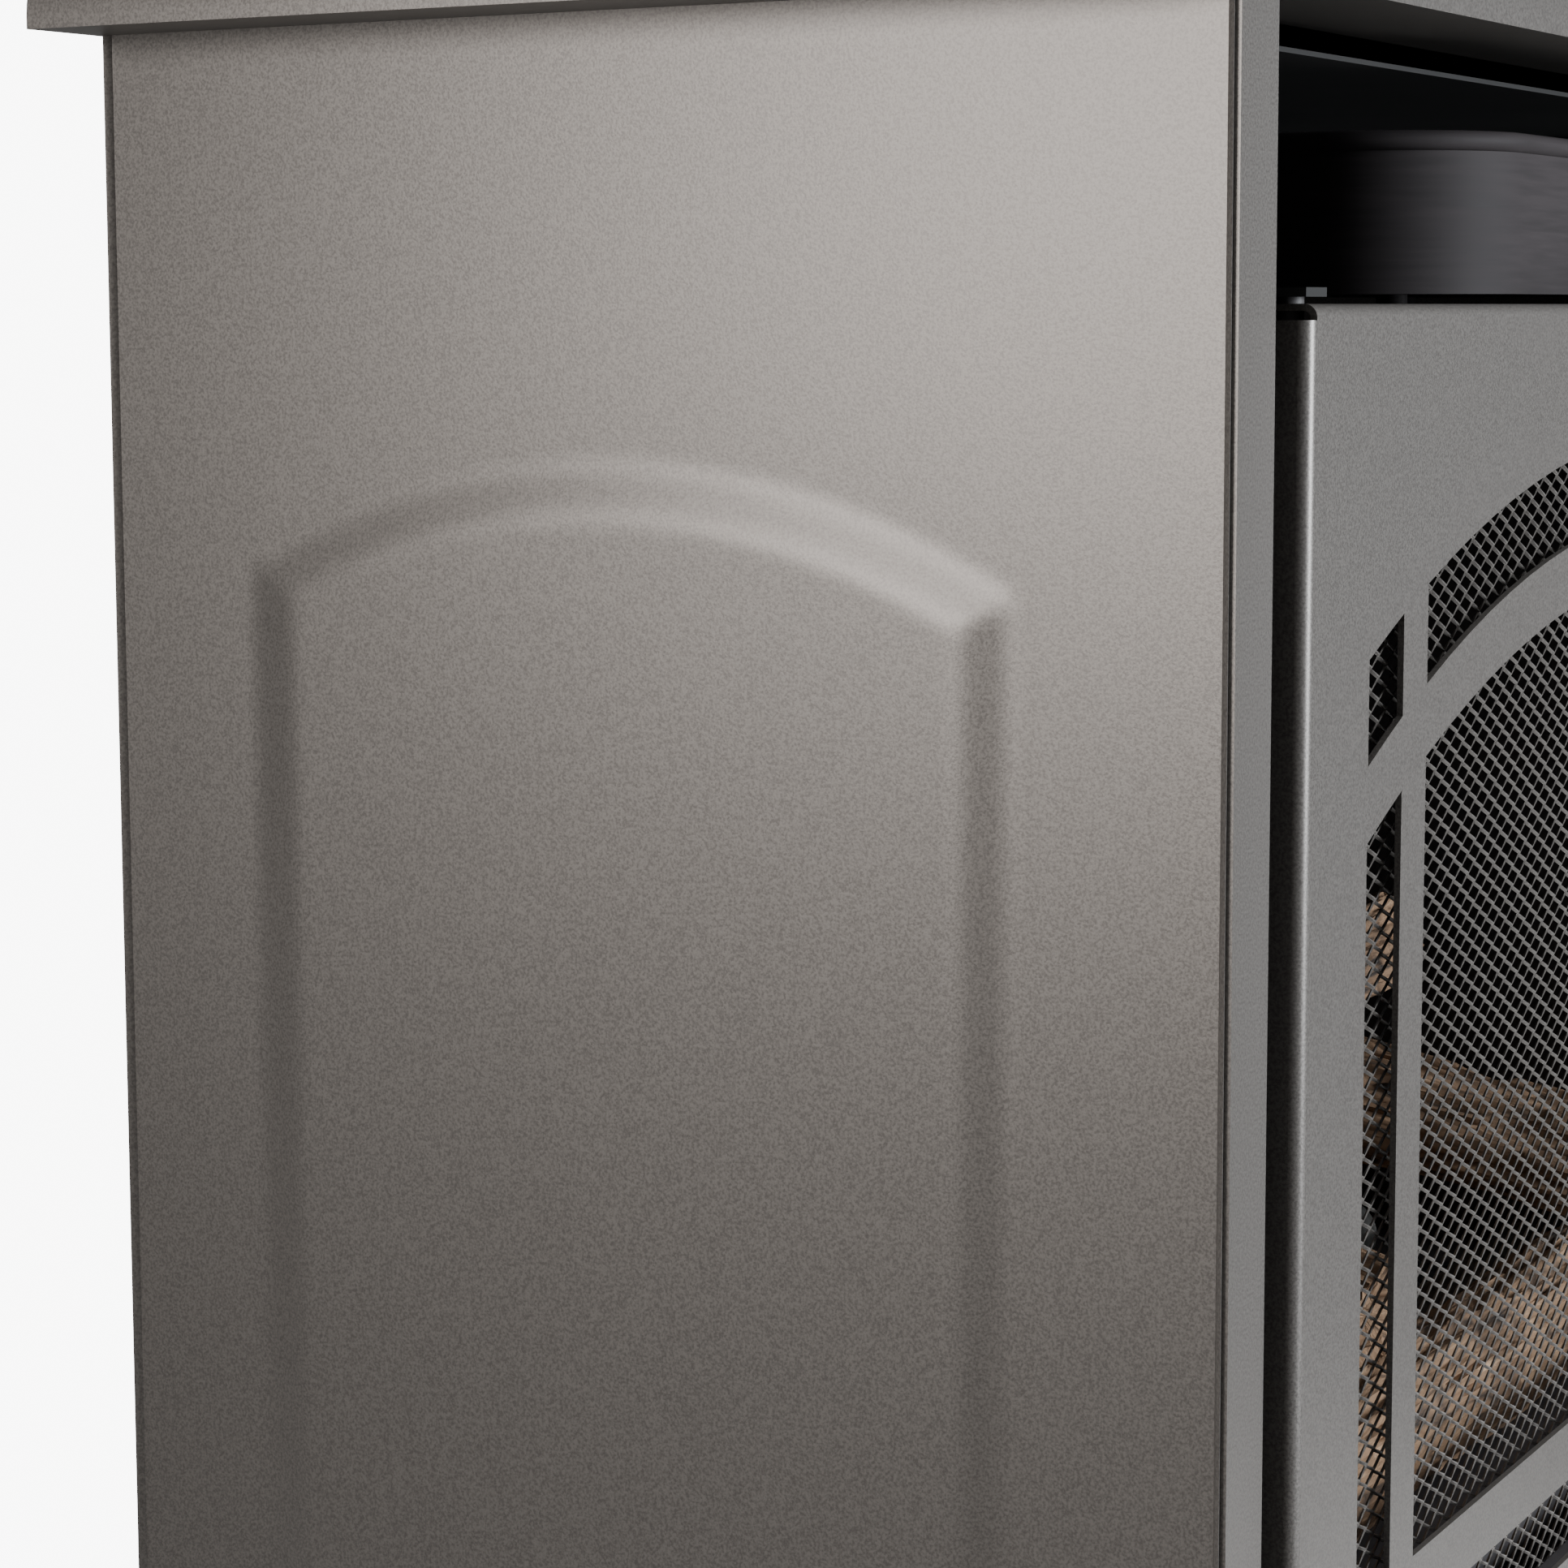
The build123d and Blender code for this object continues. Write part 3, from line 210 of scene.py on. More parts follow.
# finish name: (real finish, light, dark, grain in mm, roughness, more)
FINISHES = {
    # sprayed heat-resistant black is chalky and swallows light, with a faint orange peel
    "black_paint": ("matt heat-resistant black", "#403d3e", "#343132", 0.5, 0.6, {}),
    # stoved enamel over drawn steel: dark, dulled by heat, with faint long draw marks
    "gloss_black": ("semi-gloss black enamel", "#353132", "#2b2829", 0.9, 0.66,
                    dict(stretch=(0.06, 0.06, 1.0), Specular_IOR_Level=0.12)),
    # passivated zinc plate is pale, slightly blue and cloudy
    "zinc_steel": ("bright zinc plate", "#c3c5c2", "#9b9d9c", 0.4, 0.3, dict(metallic=1.0)),
    # hot-dipped aluminised sheet has soft grey spangles
    "aluminised_steel": ("aluminised steel", "#9c9c99", "#74736f", 2.5, 0.46, dict(metallic=0.9)),
    # satin nickel shows a fine drawn grain along the bar
    "handle_metal": ("satin nickel plate", "#b7b2a9", "#938e86", 0.3, 0.3,
                     dict(metallic=1.0, stretch=(1.0, 1.0, 0.05))),
    # turned brass: fine turning rings and a warm sheen
    "brass": ("turned brass", "#c9a45c", "#a17f3d", 0.3, 0.28,
              dict(metallic=1.0, stretch=(1.0, 0.05, 1.0))),
    # die-cast alloy keeps a dull, slightly pitted skin
    "cast_metal": ("die-cast alloy", "#a3a39f", "#7f7e7b", 0.7, 0.5, dict(metallic=0.85, depth_mm=0.06)),
    # drawn aluminium tube: soft, pale, with long draw lines
    "aluminium_tube": ("drawn aluminium", "#c4c5c7", "#a5a6a8", 0.3, 0.33,
                       dict(metallic=1.0, stretch=BRUSHED)),
    # silicone sleeving: dull brick red, barely shiny
    "copper_lead": ("silicone sleeving", "#8d3a2a", "#742d20", 0.5, 0.55, dict(IOR=1.41)),
    # moulded nylon: fine spark-eroded texture
    "black_plastic": ("moulded nylon", "#1f1f20", "#151516", 0.35, 0.42, dict(depth_mm=0.04, IOR=1.53)),
    # polished acetal button
    "red_plastic": ("moulded acetal", "#8e1c16", "#7c1611", 0.6, 0.25, dict(IOR=1.48)),
    # glazed alumina: white, glassy skin
    "ceramic": ("glazed alumina", "#eae7df", "#dcd8ce", 0.8, 0.16, dict(IOR=1.76, Coat_Weight=0.5)),
    # ferrite magnet in its cup: dark grey with a sintered grain
    "magnet": ("sintered ferrite", "#2b2b2d", "#1c1c1e", 0.4, 0.5, dict(metallic=0.3)),
}

# painted shade: these two black nodes catch the light in the slot over the door, which lies in shade; a
# near-black finish, darker than their own paint, keeps it dark there
SHADE_BLACK = ("sooted heat-resistant black", "#1b1a1a", "#131313", 0.5, 0.8)
SHADE_BLACK_NODES = ("heat_shield", "hinge_brackets")


def ember_stone():
    """Expanded mineral stone: porous, blue-grey, with pale chips and charred hollows."""
    material, tree, shader = new_material("ember stone", Roughness=0.92, IOR=1.5)
    pores = grains(tree, 1.1, detail=6.0, roughness=0.65)
    chips = grains(tree, 4.0, detail=4.0, roughness=0.7)
    base = ramp(tree, pores, [(0.35, linear("#1c1f23")), (0.6, linear("#5f676e"))])
    pale = ramp(tree, chips, [(0.58, BLACK), (0.66, WHITE)])
    mixed = add(tree, "ShaderNodeMix", {"Factor": pale, 6: base}, data_type="RGBA")
    mixed.inputs[7].default_value = linear("#a89c8c")
    tree.links.new(mixed.outputs[2], shader.inputs["Base Color"])
    tree.links.new(bump(tree, pores, 0.8, 0.8), shader.inputs["Normal"])
    return material


def bark_ceramic(logs):
    """Cast ceramic fibre, hand painted as oak: furrows along the log painted darker as painted shade, pale
    ridge tops as painted highlight, sooty patches.
    """
    material, tree, shader = new_material("painted bark ceramic", IOR=1.45)
    along = add(tree, "ShaderNodeUVMap", uv_map="bark").outputs["UV"]
    wide = add(tree, "ShaderNodeMapping", {"Vector": along}, Scale=(22.0, 120.0, 1.0)).outputs["Vector"]
    furrows = add(tree, "ShaderNodeTexNoise", {"Vector": wide}, Scale=1.0, Detail=8.0, Roughness=0.62,
                  Distortion=0.9).outputs["Fac"]
    plates = add(tree, "ShaderNodeTexVoronoi", {"Vector": wide}, feature="DISTANCE_TO_EDGE", Scale=0.9,
                 Randomness=1.0).outputs["Distance"]
    # painted shade: the cracks between bark plates lower the height, which also darkens them
    edges = ramp(tree, plates, [(0.0, (0.62, 0.62, 0.62, 1.0)), (0.14, WHITE)])
    height = add(tree, "ShaderNodeMath", {0: furrows, 1: edges}, operation="MULTIPLY").outputs[0]
    # painted shade and painted highlight: the low parts of the bump take the dark furrow colour, the high
    # parts the pale split colour
    shade_and_highlight_tones = [(0.24, logs.furrow), (0.4, logs.bark), (0.54, logs.bark), (0.66, logs.split)]
    tone = ramp(tree, height, shade_and_highlight_tones)
    soot_and_shade = grains(tree, 30.0, detail=3.0)
    mask = ramp(tree, soot_and_shade, [(0.5, WHITE), (0.68, (0.32, 0.3, 0.3, 1.0))])
    sooty = add(tree, "ShaderNodeMix", {6: tone, 7: mask}, data_type="RGBA", blend_type="MULTIPLY")
    sooty.inputs[0].default_value = 0.8
    tree.links.new(sooty.outputs[2], shader.inputs["Base Color"])
    tree.links.new(spread_over(tree, furrows, 0.8, 0.98), shader.inputs["Roughness"])
    tree.links.new(bump(tree, height, 2.2, 0.9), shader.inputs["Normal"])
    return material


def studio_floor():
    """Seamless pale paper."""
    material, tree, shader = new_material("seamless paper", Roughness=0.85, Emission_Strength=0.25)
    fibre = grains(tree, 6.0)
    tone = ramp(tree, fibre, [(0.3, linear("#ececea")), (0.7, linear("#f3f3f1"))])
    tree.links.new(tone, shader.inputs["Base Color"])
    return material


# ---- modelling helpers ----------------------------------------------------------------------------------
WELD = 0.02 * MM
QUARTER_TURN = math.pi / 2


def start_clean():
    if bpy.context.object and bpy.context.object.mode != "OBJECT":
        bpy.ops.object.mode_set(mode="OBJECT")
    bpy.ops.object.select_all(action="DESELECT")


def named(name):
    piece = bpy.context.object
    piece.name = name
    piece.data.name = name
    return piece


def settle():
    """Puts the active object's place, turn and size into its mesh."""
    bpy.ops.object.transform_apply(location=True, rotation=True, scale=True)


def apply_all(piece):
    bpy.context.view_layer.objects.active = piece
    for modifier in list(piece.modifiers):
        bpy.ops.object.modifier_apply(modifier=modifier.name)


def select_where(piece, kind, test):
    """Selects the vertices, edges or faces of the object in edit mode that pass the test."""
    bpy.ops.mesh.select_mode(type=kind)
    bpy.ops.mesh.select_all(action="DESELECT")
    bpy.ops.object.mode_set(mode="OBJECT")
    mesh = piece.data
    items = {"VERT": mesh.vertices, "EDGE": mesh.edges, "FACE": mesh.polygons}[kind]
    for item in items:
        item.select = test(item)
    bpy.ops.object.mode_set(mode="EDIT")


def outward():
    """Welds the vertices that meet and turns every face outward."""
    bpy.ops.mesh.select_all(action="SELECT")
    bpy.ops.mesh.remove_doubles(threshold=WELD)
    bpy.ops.mesh.normals_make_consistent(inside=False)


def finish_piece(piece, body, materials, replaced=()):
    """Gives a finished piece its material, its body and the nodes it stands for."""
    piece.data.materials.clear()
    for material in materials:
        piece.data.materials.append(material)
    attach(piece, body)
    if replaced:
        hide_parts(*replaced)


def material_named(name):
    return bpy.data.materials[name]


# ---- side panels ----------------------------------------------------------------------------------------
STRAIGHT, SOFT = 0.65, 0.35     # shares of a straight and of a soft slope in the arch's border
BEND_STEPS = 5


def arch_rise(case, y, z):
    """How far the pressed arch stands out at a place on the panel, with soft folds at both edges."""
    rise = case.arch_radius - math.sqrt(case.arch_radius ** 2 - case.arch_half ** 2)
    centre_z = case.arch_corner + rise - case.arch_radius
    across = y - case.arch_middle
    reach = min(
        case.arch_half - abs(across),
        z - case.arch_bottom,
        case.arch_radius - math.hypot(across, z - centre_z),
    )
    t = min(max(reach / case.arch_slope, 0.0), 1.0)
    return case.arch_raise * (STRAIGHT * t + SOFT * t * t * (3 - 2 * t))


def pressed_face(case, low, high):
    """The flat of the left panel with its arch, as a fine grid that looks to -X."""
    width = high.y - low.y - 2 * case.bend
    tall = high.z - low.z
    bpy.ops.mesh.primitive_grid_add(
        x_subdivisions=round(tall / case.grid), y_subdivisions=round(width / case.grid), size=1.0,
        location=(0, 0, 0))
    piece = named("side_panel_face")
    piece.scale = (tall, width, 1.0)
    piece.rotation_euler = (0.0, -QUARTER_TURN, 0.0)
    plane_x = -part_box("base_plate")[1].x
    piece.location = (plane_x, (low.y + high.y) / 2, (low.z + high.z) / 2)
    settle()
    for vertex in piece.data.vertices:
        vertex.co.x = plane_x - arch_rise(case, vertex.co.y, vertex.co.z)
    return piece, plane_x


class STOVE_OT_side_panels(bpy.types.Operator):
    """Fold and press the two side panels"""
    bl_idname = "stove.side_panels"
    bl_label = "Side panels"

    def execute(self, context):
        case = context.scene.stove_case
        low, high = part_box("side_panel_left")
        piece, plane_x = pressed_face(case, low, high)
        bend = case.bend
        bpy.ops.object.mode_set(mode="EDIT")
        for edge_y, way in ((low.y + bend, 1), (high.y - bend, -1)):
            select_where(piece, "EDGE", lambda e: all(
                abs(piece.data.vertices[i].co.y - edge_y) < 0.1 * MM for i in e.vertices))
            bpy.ops.mesh.spin(
                steps=BEND_STEPS, angle=way * QUARTER_TURN, center=(plane_x + bend, edge_y, 0),
                axis=(0, 0, 1))
            bpy.ops.mesh.extrude_region_move(
                TRANSFORM_OT_translate={"value": (case.flange - bend, 0, 0)})
        outward()
        bpy.ops.object.mode_set(mode="OBJECT")
        face_left(piece)
        wall = piece.modifiers.new("wall", "SOLIDIFY")
        wall.thickness = case.sheet
        wall.offset = -1.0
        apply_all(piece)
        bpy.ops.object.shade_smooth_by_angle(angle=math.radians(40))
        piece.name = "pressed_side_left"
        other = piece.copy()
        other.data = piece.data.copy()
        other.name = "pressed_side_right"
        context.scene.collection.objects.link(other)
        other.data.transform(Matrix.Scale(-1, 4, (1, 0, 0)))
        other.data.flip_normals()
        paint = [material_named("textured stove paint")]
        finish_piece(piece, "cabinet", paint, ["side_panel_left"])
        finish_piece(other, "cabinet", paint, ["side_panel_right"])
        return {"FINISHED"}


def face_left(piece):
    """Turns an open sheet so that its largest faces look to -X."""
    total = sum(p.normal.x * p.area for p in piece.data.polygons)
    if total > 0:
        piece.data.flip_normals()


# ---- expanded mesh --------------------------------------------------------------------------------------
class STOVE_OT_expanded_mesh(bpy.types.Operator):
    """Cut and stretch the expanded-metal screen"""
    bl_idname = "stove.expanded_mesh"
    bl_label = "Expanded mesh"

    def execute(self, context):
        screen = context.scene.stove_screen
        low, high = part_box("door_mesh")
        middle = (low + high) / 2
        # a square grid turned by 45 degrees and squashed: its cells become the diamonds
        reach = max((high.x - low.x) / screen.long_way, (high.z - low.z) / screen.short_way)
        count = 2 * math.ceil(reach) + 4
        bpy.ops.mesh.primitive_grid_add(x_subdivisions=count, y_subdivisions=count, size=count)
        piece = named("expanded_screen")
        piece.rotation_euler = (0, 0, math.pi / 4)
        settle()
        piece.scale = (screen.long_way / math.sqrt(2), screen.short_way / math.sqrt(2), 1.0)
        settle()
        piece.rotation_euler = (QUARTER_TURN, 0, 0)
        piece.location = (0.0, middle.y, middle.z)
        settle()
        bpy.ops.object.mode_set(mode="EDIT")
        cuts = (((low.x, 0, 0), (-1, 0, 0)), ((high.x, 0, 0), (1, 0, 0)),
                ((0, 0, low.z), (0, 0, -1)), ((0, 0, high.z), (0, 0, 1)))
        for place, normal in cuts:
            bpy.ops.mesh.select_all(action="SELECT")
            bpy.ops.mesh.bisect(plane_co=place, plane_no=normal, clear_outer=True)
        bpy.ops.object.mode_set(mode="OBJECT")
        wires = piece.modifiers.new("strands", "WIREFRAME")
        wires.thickness = screen.strand
        wires.use_even_offset = False
        wires.use_boundary = True
        wires.use_replace = True
        apply_all(piece)
        # each strand leans, as the expanding of the sheet leaves it
        for vertex in piece.data.vertices:
            place = vertex.co
            half_rows = 2 * (place.z - middle.z) / screen.short_way
            lean = (half_rows - round(half_rows)) / 2 * screen.short_way
            depth = (place.y - middle.y) * screen.strand_depth / screen.strand
            place.y = middle.y + depth - screen.twist * lean
            place.y = min(max(place.y, low.y), high.y)
        paint = material_named("painted screen mesh")
        finish_piece(piece, "screen_door", [paint], ["door_mesh"])
        return {"FINISHED"}


# ---- logs -----------------------------------------------------------------------------------------------
# piece: (first end, other end, first radius, other radius) in millimetres, as its solid lies in the frame
LOGS = {
    "front_log": [((-182, -99, 257), (184, -100, 256), 22.5, 21.5)],
    "rear_log": [((-205, 60, 269), (205, 56, 271), 35, 33)],
    "cross_log_left": [((-96, -112, 297), (-62, 72, 331), 18, 21)],
    "cross_log_right": [((92, -108, 299), (62, 78, 330), 20, 19)],
    "log_branches": [
        ((-168, -104, 292), (-140, 74, 322), 12, 13),
        ((160, -106, 291), (150, 70, 322), 12, 13),
    ],
    "top_log": [((-128, -36, 362), (150, -18, 352), 24, 19)],
}
LOG_SIDES = 72
RING_SPACING = 2.6 * MM         # between the rings of vertices along a log
END_STEPS = (0.8, 0.72, 0.6, 0.3)   # each ring of an end, in the size of the one before it
LUMP_LENGTH = 0.06              # m, the slow lumps along a log
LUMP = 0.10                     # their height in radii
FURROW_WIDTH, FURROW_LENGTH = 0.0055, 0.034
FURROW_REACH = 0.34             # noise under this value is part of a furrow
END_CHIP, END_SINK = 0.0035, 0.0015
END_BACK = 0.003                # m, how far the end faces sit inside the bar's ends


def bark_log(name, entry, logs, seed):
    """One log: a tapered bar, furrowed along its length, with broken ends."""
    start, end, r0, r1 = entry
    a, b = Vector(start) * MM, Vector(end) * MM
    axis = b - a
    rings = max(24, round(axis.length / RING_SPACING))
    bpy.ops.mesh.primitive_cylinder_add(vertices=LOG_SIDES, radius=1.0, depth=1.0, end_fill_type="NOTHING")
    piece = named(name)
    bpy.ops.object.mode_set(mode="EDIT")
    select_where(piece, "EDGE", lambda e: abs(
        piece.data.vertices[e.vertices[0]].co.z - piece.data.vertices[e.vertices[1]].co.z) > 0.5)
    bpy.ops.mesh.subdivide(number_cuts=rings)
    for height in (-0.5, 0.5):
        select_where(piece, "EDGE", lambda e: all(
            abs(piece.data.vertices[i].co.z - height) < 0.0001 for i in e.vertices))
        for scale in END_STEPS:
            bpy.ops.mesh.extrude_edges_move()
            bpy.ops.transform.resize(value=(scale, scale, 1.0), center_override=(0, 0, height))
        bpy.ops.mesh.edge_collapse()
    outward()
    bpy.ops.object.mode_set(mode="OBJECT")
    give_bark_uv(piece, axis.length, (r0 + r1) / 2 * MM)
    shape_log(piece, axis.length, r0 * MM, r1 * MM, logs, seed)
    turn = axis.to_track_quat("Z", "Y").to_matrix().to_4x4()
    piece.data.transform(Matrix.Translation((a + b) / 2) @ turn)
    bpy.ops.object.shade_smooth_by_angle(angle=math.radians(60))
    return piece


def give_bark_uv(piece, long, radius):
    """A UV map in metres: along the log, and round it, doubled back so that it closes without a seam."""
    layer = piece.data.uv_layers.new(name="bark")
    for loop in piece.data.loops:
        co = piece.data.vertices[loop.vertex_index].co
        angle = abs(math.atan2(co.y, co.x))
        inset = 1.0 - min(math.hypot(co.x, co.y), 1.0)
        along = co.z * long + inset * radius * 0.5
        layer.data[loop.index].uv = (along, angle * radius + 0.3 * inset * radius)


def shape_log(piece, long, r0, r1, logs, seed):
    """Moves every vertex: taper, lumps, deep furrows that wander along the log, chipped ends."""
    shift = Vector((seed * 3.1, seed * 1.7, seed * 2.3))
    depth = logs.bark_depth
    for vertex in piece.data.vertices:
        x, y, z = vertex.co
        part = z + 0.5
        radius = r0 + (r1 - r0) * min(max(part, 0.0), 1.0)
        out = math.hypot(x, y)
        angle = math.atan2(y, x)
        ring = Vector((math.cos(angle), math.sin(angle), 0.0))
        slow = Vector((ring.x * 0.9, ring.y * 0.9, z * long / LUMP_LENGTH)) + shift
        lumps = noise.noise(slow) * LUMP * radius
        across = Vector((ring.x * radius / FURROW_WIDTH, ring.y * radius / FURROW_WIDTH, 0.0))
        lengthwise = across + Vector((0.0, 0.0, z * long / FURROW_LENGTH)) + shift
        ridges = abs(noise.noise(lengthwise + Vector((0, 0, 0.4 * noise.noise(slow * 3)))))
        fine = noise.fractal(lengthwise * 2.3, 1.0, 2.0, 3) * 0.2
        groove = max(0.0, FURROW_REACH - ridges) / FURROW_REACH
        bark = -depth * (0.25 + 0.6 * groove) + depth * 0.25 * fine
        surface = max(radius - LUMP * radius + lumps + bark, radius * 0.5)
        end_chip = 0.0
        if out < 0.99:
            rough_end = noise.fractal(Vector((x * 3, y * 3, seed)), 1.0, 2.0, 3)
            end_chip = (END_CHIP * rough_end - END_SINK) * (1 if z > 0 else -1)
        back = math.copysign(END_BACK, z) if abs(z) > 0.499 else 0.0
        vertex.co = Vector((ring.x * surface * out, ring.y * surface * out, z * long + end_chip - back))


class STOVE_OT_logs(bpy.types.Operator):
    """Cast and paint the ceramic logs"""
    bl_idname = "stove.logs"
    bl_label = "Ceramic logs"

    def execute(self, context):
        logs = context.scene.stove_logs
        bark = [material_named("painted bark ceramic")]
        seed = 1
        for node, entries in LOGS.items():
            made = []
            for entry in entries:
                start_clean()
                made.append(bark_log(f"bark_{node}", entry, logs, seed))
                seed += 1
            start_clean()
            for piece in made:
                piece.select_set(True)
            context.view_layer.objects.active = made[0]
            if len(made) > 1:
                bpy.ops.object.join()
            made[0].name = f"bark_{node}"
            finish_piece(made[0], "cabinet", bark, [node])
        return {"FINISHED"}


PILOT_GAP = (-0.076, -0.002)    # the bed has no stones between these, round the pilot
STONE_RADII = (0.0028, 0.0058)
BED_END, BED_SIDE = 0.008, 0.005    # the middle of a stone stays this far inside the bed's box
GAP_EDGE = 0.006


class STOVE_OT_embers(bpy.types.Operator):
    """Scatter the ember stones on their bed"""
    bl_idname = "stove.embers"
    bl_label = "Ember stones"

    def execute(self, context):
        logs = context.scene.stove_logs
        low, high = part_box("ember_bed")
        dice = random.Random(11)
        start_clean()
        bpy.ops.mesh.primitive_ico_sphere_add(subdivisions=2, radius=1.0)
        stone = named("ember_stone")
        bpy.ops.object.mode_set(mode="EDIT")
        bpy.ops.transform.vertex_random(offset=0.24, seed=4)
        bpy.ops.object.mode_set(mode="OBJECT")
        copies = []
        while len(copies) < logs.stones:
            x = dice.uniform(low.x + BED_END, high.x - BED_END)
            y = dice.uniform(low.y + BED_SIDE, high.y - BED_SIDE)
            if PILOT_GAP[0] - GAP_EDGE < x < PILOT_GAP[1] + GAP_EDGE:
                continue
            size = dice.uniform(*STONE_RADII)
            z = low.z + size * 0.6 + dice.uniform(0.0, 1.0) * (high.z - low.z - size * 1.5)
            copy = stone.copy()
            copy.data = stone.data.copy()
            context.scene.collection.objects.link(copy)
            angle = dice.uniform(0, 6.28)
            axis = Vector((dice.random(), dice.random(), 1.0)).normalized()
            turn = Matrix.Rotation(angle, 4, axis)
            width = size * dice.uniform(0.7, 1.0)
            squash = Matrix.Diagonal((size, width, size * dice.uniform(0.6, 0.9), 1.0))
            copy.data.transform(Matrix.Translation((x, y, max(z, low.z + size * 0.5))) @ turn @ squash)
            copies.append(copy)
        bpy.data.objects.remove(stone)
        start_clean()
        for copy in copies:
            copy.select_set(True)
        context.view_layer.objects.active = copies[0]
        bpy.ops.object.join()
        bed = named("ember_stones")
        for polygon in bed.data.polygons:
            polygon.use_smooth = False
        finish_piece(bed, "cabinet", [material_named("ember stone")], ["ember_bed"])
        return {"FINISHED"}


# ---- finishes -------------------------------------------------------------------------------------------
class STOVE_OT_finishes(bpy.types.Operator):
    """Mix the finishes and put them on the carried-over nodes"""
    bl_idname = "stove.finishes"
    bl_label = "Finishes"

    def execute(self, context):
        case = context.scene.stove_case
        by_slot = {"case_paint": textured_stove_paint(case.paint, case.paint_dark)}
        by_slot["mesh_paint"] = textured_stove_paint(case.paint, case.paint_dark, "painted screen mesh")
        for slot_name, (real, light, dark, grain, rough, more) in FINISHES.items():
            by_slot[slot_name] = coat(real, light, dark, grain, rough, **more)
        by_slot["log_ceramic"] = bark_ceramic(context.scene.stove_logs)
        by_slot["ember_ceramic"] = ember_stone()
        soot_and_shade = coat(*SHADE_BLACK)
        for part in frame["record"]["subparts"]:
            node = frame["nodes"][part["node"]]
            # painted shade: the heat shield and hinge brackets take the near-black finish in place of
            # their own slot's finish
            finish = soot_and_shade if part["node"] in SHADE_BLACK_NODES else by_slot[part["material_slot"]]
            node.data.materials.clear()
            node.data.materials.append(finish)
        return {"FINISHED"}


# ---- stage ----------------------------------------------------------------------------------------------
NEUTRAL = (1.0, 1.0, 1.0)
# name: (place, target, width and height, watts, tint, spread in degrees)
LIGHTS = {
    "left_softbox": ((-1.35, 0.30, 0.70), (-0.28, -0.08, 0.52), (0.5, 0.5), 1.75, (1.0, 0.965, 0.94), 60),
    "front_softbox": ((0.35, -2.3, 0.75), (-0.05, -0.1, 0.45), (1.0, 0.9), 15.0, (0.9, 0.95, 1.0), 60),
    "right_softbox": ((1.6, 0.75, 1.1), (0.28, 0.0, 0.4), (0.7, 0.7), 7.0, NEUTRAL, 90),
    "top_softbox": ((-0.3, -0.4, 2.4), (0.0, 0.0, 0.4), (1.6, 1.6), 6.0, NEUTRAL, 180),
}
FLOOR_SIZE, FLOOR_PLACE = 1.2, (0.05, 0, 0)
SKY_LIGHT, SKY_SEEN = 0.18, 9.0     # the world's strength on the stove, and behind it
LENS, SENSOR, SHIFT_Y = 83.8, 36.0, -0.0399
CAMERA_PLACE = (-0.9823, -0.4356, 0.5591)
YAW, TILT, ROLL = math.radians(60.368), math.radians(6.401), math.radians(0.180)


def softbox(name, place, target, size, power, tint, spread):
    light = bpy.data.lights.new(name, "AREA")
    light.spread = math.radians(spread)
    light.shape = "RECTANGLE"
    light.size, light.size_y = size
    light.energy = power
    light.color = tint
    lamp = bpy.data.objects.new(name, light)
    lamp.location = place
    lamp.rotation_euler = (Vector(target) - Vector(place)).to_track_quat("-Z", "Y").to_euler()
    bpy.context.scene.collection.objects.link(lamp)


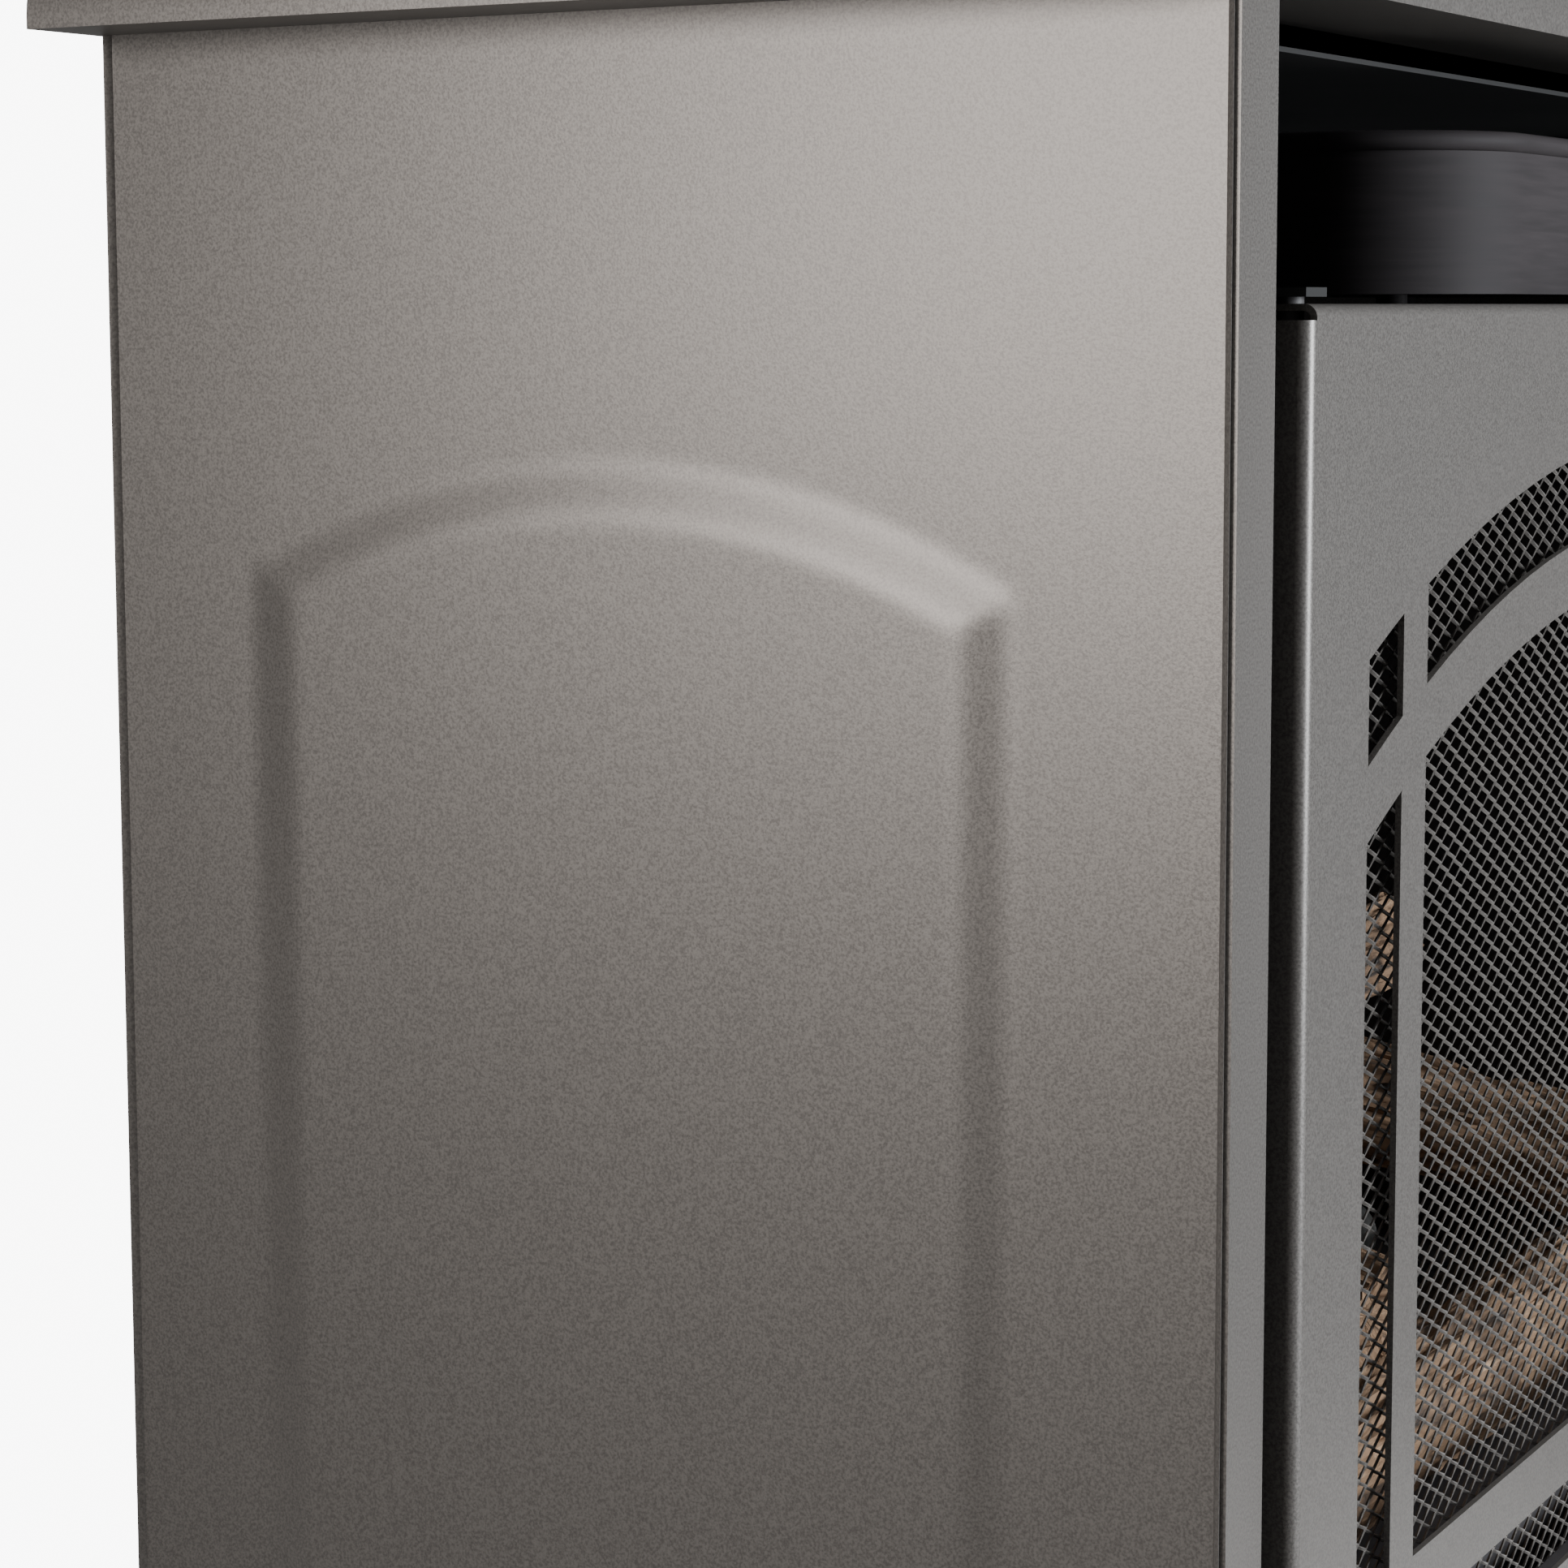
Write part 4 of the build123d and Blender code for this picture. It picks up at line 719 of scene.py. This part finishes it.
class STOVE_OT_stage(bpy.types.Operator):
    """Set the floor, the light and the camera"""
    bl_idname = "stove.stage"
    bl_label = "Stage"

    def execute(self, context):
        start_clean()
        bpy.ops.mesh.primitive_plane_add(size=FLOOR_SIZE, location=FLOOR_PLACE)
        floor = named("studio_floor")
        floor.data.materials.append(studio_floor())

        world = bpy.data.worlds.new("studio")
        world.use_nodes = True
        tree = world.node_tree
        seen = add(tree, "ShaderNodeLightPath").outputs["Is Camera Ray"]
        strength = spread_over(tree, seen, SKY_LIGHT, SKY_SEEN)
        background = tree.nodes["Background"]
        background.inputs["Color"].default_value = linear("#fbfbfb")
        tree.links.new(strength, background.inputs["Strength"])
        context.scene.world = world

        for name, values in LIGHTS.items():
            softbox(name, *values)

        camera_data = bpy.data.cameras.new("camera")
        camera_data.lens = LENS
        camera_data.sensor_width = SENSOR
        camera_data.shift_y = SHIFT_Y
        camera = bpy.data.objects.new("camera", camera_data)
        context.scene.collection.objects.link(camera)
        context.scene.camera = camera
        right = Vector((math.cos(YAW), -math.sin(YAW), 0.0))
        ahead = Vector((math.sin(YAW) * math.cos(TILT), math.cos(YAW) * math.cos(TILT), -math.sin(TILT)))
        up = right.cross(ahead)
        level = right * math.cos(ROLL) - up * math.sin(ROLL)
        upright = level.cross(ahead)
        turn = Matrix((level, upright, -ahead)).transposed()
        camera.matrix_world = Matrix.Translation(CAMERA_PLACE) @ turn.to_4x4()
        return {"FINISHED"}


class STOVE_PT_panel(bpy.types.Panel):
    """The stove's operators, in order"""
    bl_idname = "STOVE_PT_panel"
    bl_label = "Gas log stove"
    bl_space_type = "VIEW_3D"
    bl_region_type = "UI"
    bl_category = "Stove"

    def draw(self, context):
        for operator in OPERATORS:
            self.layout.operator(operator.bl_idname)


OPERATORS = (
    STOVE_OT_finishes,
    STOVE_OT_side_panels,
    STOVE_OT_expanded_mesh,
    STOVE_OT_logs,
    STOVE_OT_embers,
    STOVE_OT_stage,
)
GROUPS = {"stove_case": StoveCase, "stove_screen": StoveScreen, "stove_logs": StoveLogs}
CLASSES = (*GROUPS.values(), *OPERATORS, STOVE_PT_panel)


def register():
    for cls in CLASSES:
        bpy.utils.register_class(cls)
    for name, group in GROUPS.items():
        setattr(bpy.types.Scene, name, PointerProperty(type=group))


def unregister():
    for name in GROUPS:
        delattr(bpy.types.Scene, name)
    for cls in reversed(CLASSES):
        bpy.utils.unregister_class(cls)


def main():
    register()
    for operator in OPERATORS:
        start_clean()
        group, name = operator.bl_idname.split(".")
        getattr(getattr(bpy.ops, group), name)()


if __name__ == "__main__":
    main()
